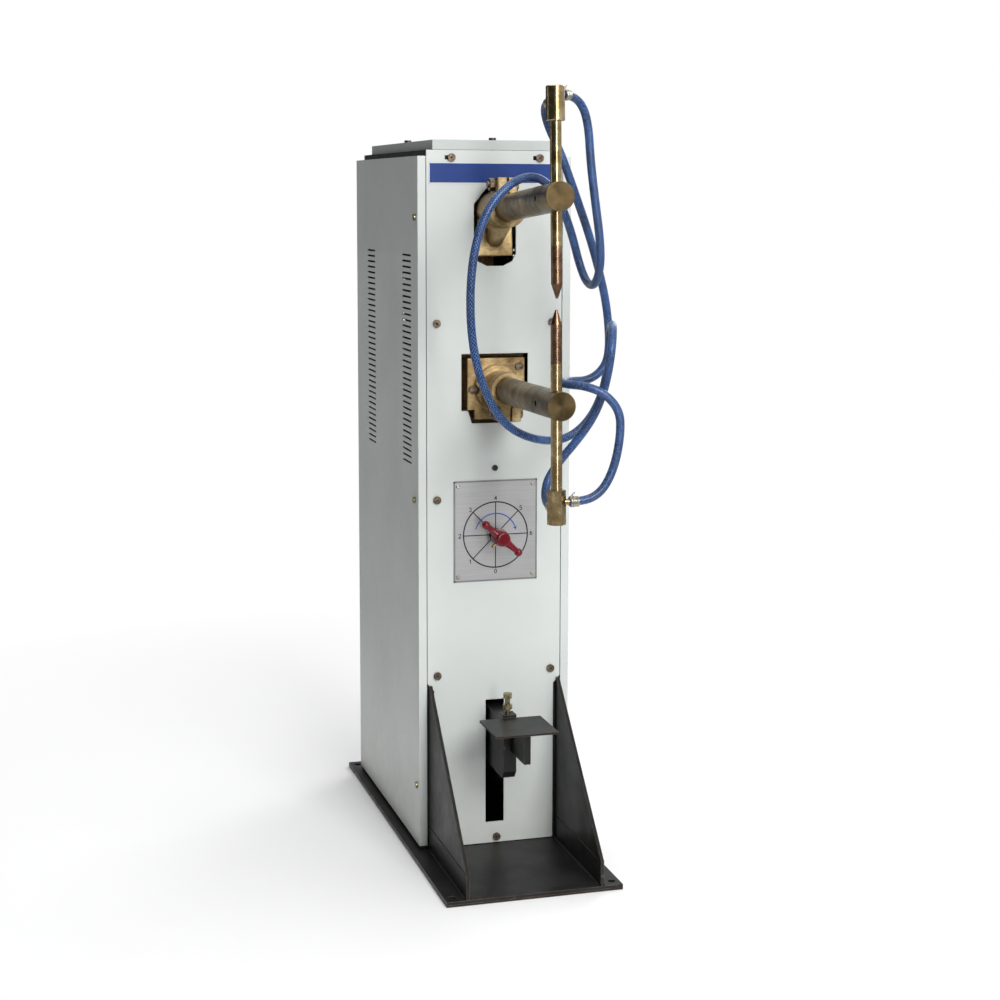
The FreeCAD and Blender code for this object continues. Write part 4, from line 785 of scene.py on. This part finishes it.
# ---------------------------------------------------------------- stage, light, camera
def stage():
    """White paper floor that fades into an even white further out, and a studio world, darker to the left."""
    floor_paint = Paint("floor_paper", roughness=0.75)
    floor_paint.set("Base Color", floor_paint.ramp(floor_paint.noise(2.0, 3.0), (0.3, 0.90), (0.7, 0.92)))
    x, y, _ = floor_paint.split()
    reach = floor_paint.math("SQRT", floor_paint.math("ADD", floor_paint.math("MULTIPLY", x, x),
                                                     floor_paint.math("MULTIPLY", y, y)))
    fade = floor_paint.ramp(floor_paint.math("DIVIDE", reach, 4.0), (0.12, 0.0), (0.42, 1.0))
    glow = floor_paint.nodes.new("ShaderNodeEmission")
    glow.inputs["Color"].default_value = (1.0, 1.0, 1.0, 1.0)
    blend = floor_paint.nodes.new("ShaderNodeMixShader")
    floor_paint.links.new(fade, blend.inputs["Fac"])
    floor_paint.links.new(floor_paint.shader.outputs["BSDF"], blend.inputs[1])
    seen_directly = floor_paint.nodes.new("ShaderNodeLightPath")
    floor_paint.links.new(floor_paint.ramp(seen_directly.outputs["Is Camera Ray"], (0.0, 0.35), (1.0, 1.0)),
                          glow.inputs["Strength"])
    floor_paint.links.new(glow.outputs["Emission"], blend.inputs[2])
    floor_paint.links.new(blend.outputs["Shader"], floor_paint.nodes["Material Output"].inputs["Surface"])
    bpy.ops.mesh.primitive_plane_add(size=60.0, location=(0, 0, 0))
    floor = bpy.context.object
    floor.name = "floor"
    floor.data.materials.append(floor_paint.material)

    world = bpy.data.worlds.new("studio")
    bpy.context.scene.world = world
    world.use_nodes = True
    nodes, links = world.node_tree.nodes, world.node_tree.links
    place = nodes.new("ShaderNodeTexCoord")
    parts = nodes.new("ShaderNodeSeparateXYZ")
    links.new(place.outputs["Generated"], parts.inputs[0])
    tone = nodes.new("ShaderNodeValToRGB")
    tone.color_ramp.elements[0].position = 0.0
    tone.color_ramp.elements[0].color = (0.06, 0.065, 0.07, 1.0)
    tone.color_ramp.elements[1].position = 0.80
    tone.color_ramp.elements[1].color = (1.0, 1.0, 1.0, 1.0)
    side = nodes.new("ShaderNodeMath")
    side.operation = "MULTIPLY_ADD"
    side.inputs[1].default_value = 0.80
    side.inputs[2].default_value = 0.12
    links.new(parts.outputs["X"], side.inputs[0])
    total = nodes.new("ShaderNodeMath")
    total.operation = "ADD"
    links.new(side.outputs[0], total.inputs[0])
    links.new(parts.outputs["Z"], total.inputs[1])
    links.new(total.outputs[0], tone.inputs["Fac"])
    lit = nodes["Background"]
    lit.inputs["Strength"].default_value = 0.62
    links.new(tone.outputs["Color"], lit.inputs["Color"])
    seen = nodes.new("ShaderNodeBackground")
    seen.inputs["Color"].default_value = (1.0, 1.0, 1.0, 1.0)
    ray = nodes.new("ShaderNodeLightPath")
    pick = nodes.new("ShaderNodeMixShader")
    links.new(ray.outputs["Is Camera Ray"], pick.inputs["Fac"])
    links.new(lit.outputs["Background"], pick.inputs[1])
    links.new(seen.outputs["Background"], pick.inputs[2])
    links.new(pick.outputs["Shader"], nodes["World Output"].inputs["Surface"])


def area_light(name, place, target, size, power):
    light = bpy.data.lights.new(name, "AREA")
    light.shape = "RECTANGLE"
    light.size, light.size_y = size
    light.energy = power
    obj = bpy.data.objects.new(name, light)
    bpy.context.scene.collection.objects.link(obj)
    obj.location = place
    obj.rotation_euler = (Vector(target) - Vector(place)).to_track_quat("-Z", "Y").to_euler()


def camera():
    """Long lens at chest height, a little to the left of the machine."""
    data = bpy.data.cameras.new("camera")
    data.lens = 68.0
    data.sensor_width = 36.0
    data.shift_x = -0.020
    data.shift_y = -0.070
    data.clip_end = 100.0
    obj = bpy.data.objects.new("camera", data)
    bpy.context.scene.collection.objects.link(obj)
    obj.location = (-0.7826, -2.8857, 1.0179)
    yaw, pitch, roll = math.radians(16.614), math.radians(-7.078), math.radians(0.19)
    forward = Vector((math.sin(yaw) * math.cos(pitch), math.cos(yaw) * math.cos(pitch), math.sin(pitch)))
    turn = forward.to_track_quat("-Z", "Y").to_matrix().to_4x4()
    obj.rotation_euler = turn.to_euler()
    obj.rotation_euler.rotate_axis("Z", roll)
    bpy.context.scene.camera = obj


stage()
area_light("key_light", (0.6, -3.7, 2.6), (0, 0, 0.6), (1.6, 1.6), 104.0)
area_light("front_strip", (0.15, -4.2, 1.2), (0, 0, 0.7), (0.55, 2.4), 46.0)
area_light("top_light", (0.0, 0.4, 4.2), (0, 0, 0.4), (3.0, 3.0), 60.0)
area_light("left_strip", (-3.2, 1.4, 0.7), (0, 0, 0.4), (0.5, 1.6), 4.0)
area_light("back_light", (2.4, 2.6, 2.4), (0, 0, 0.6), (1.6, 2.0), 34.0)
camera()
bpy.context.scene.view_settings.view_transform = "Standard"
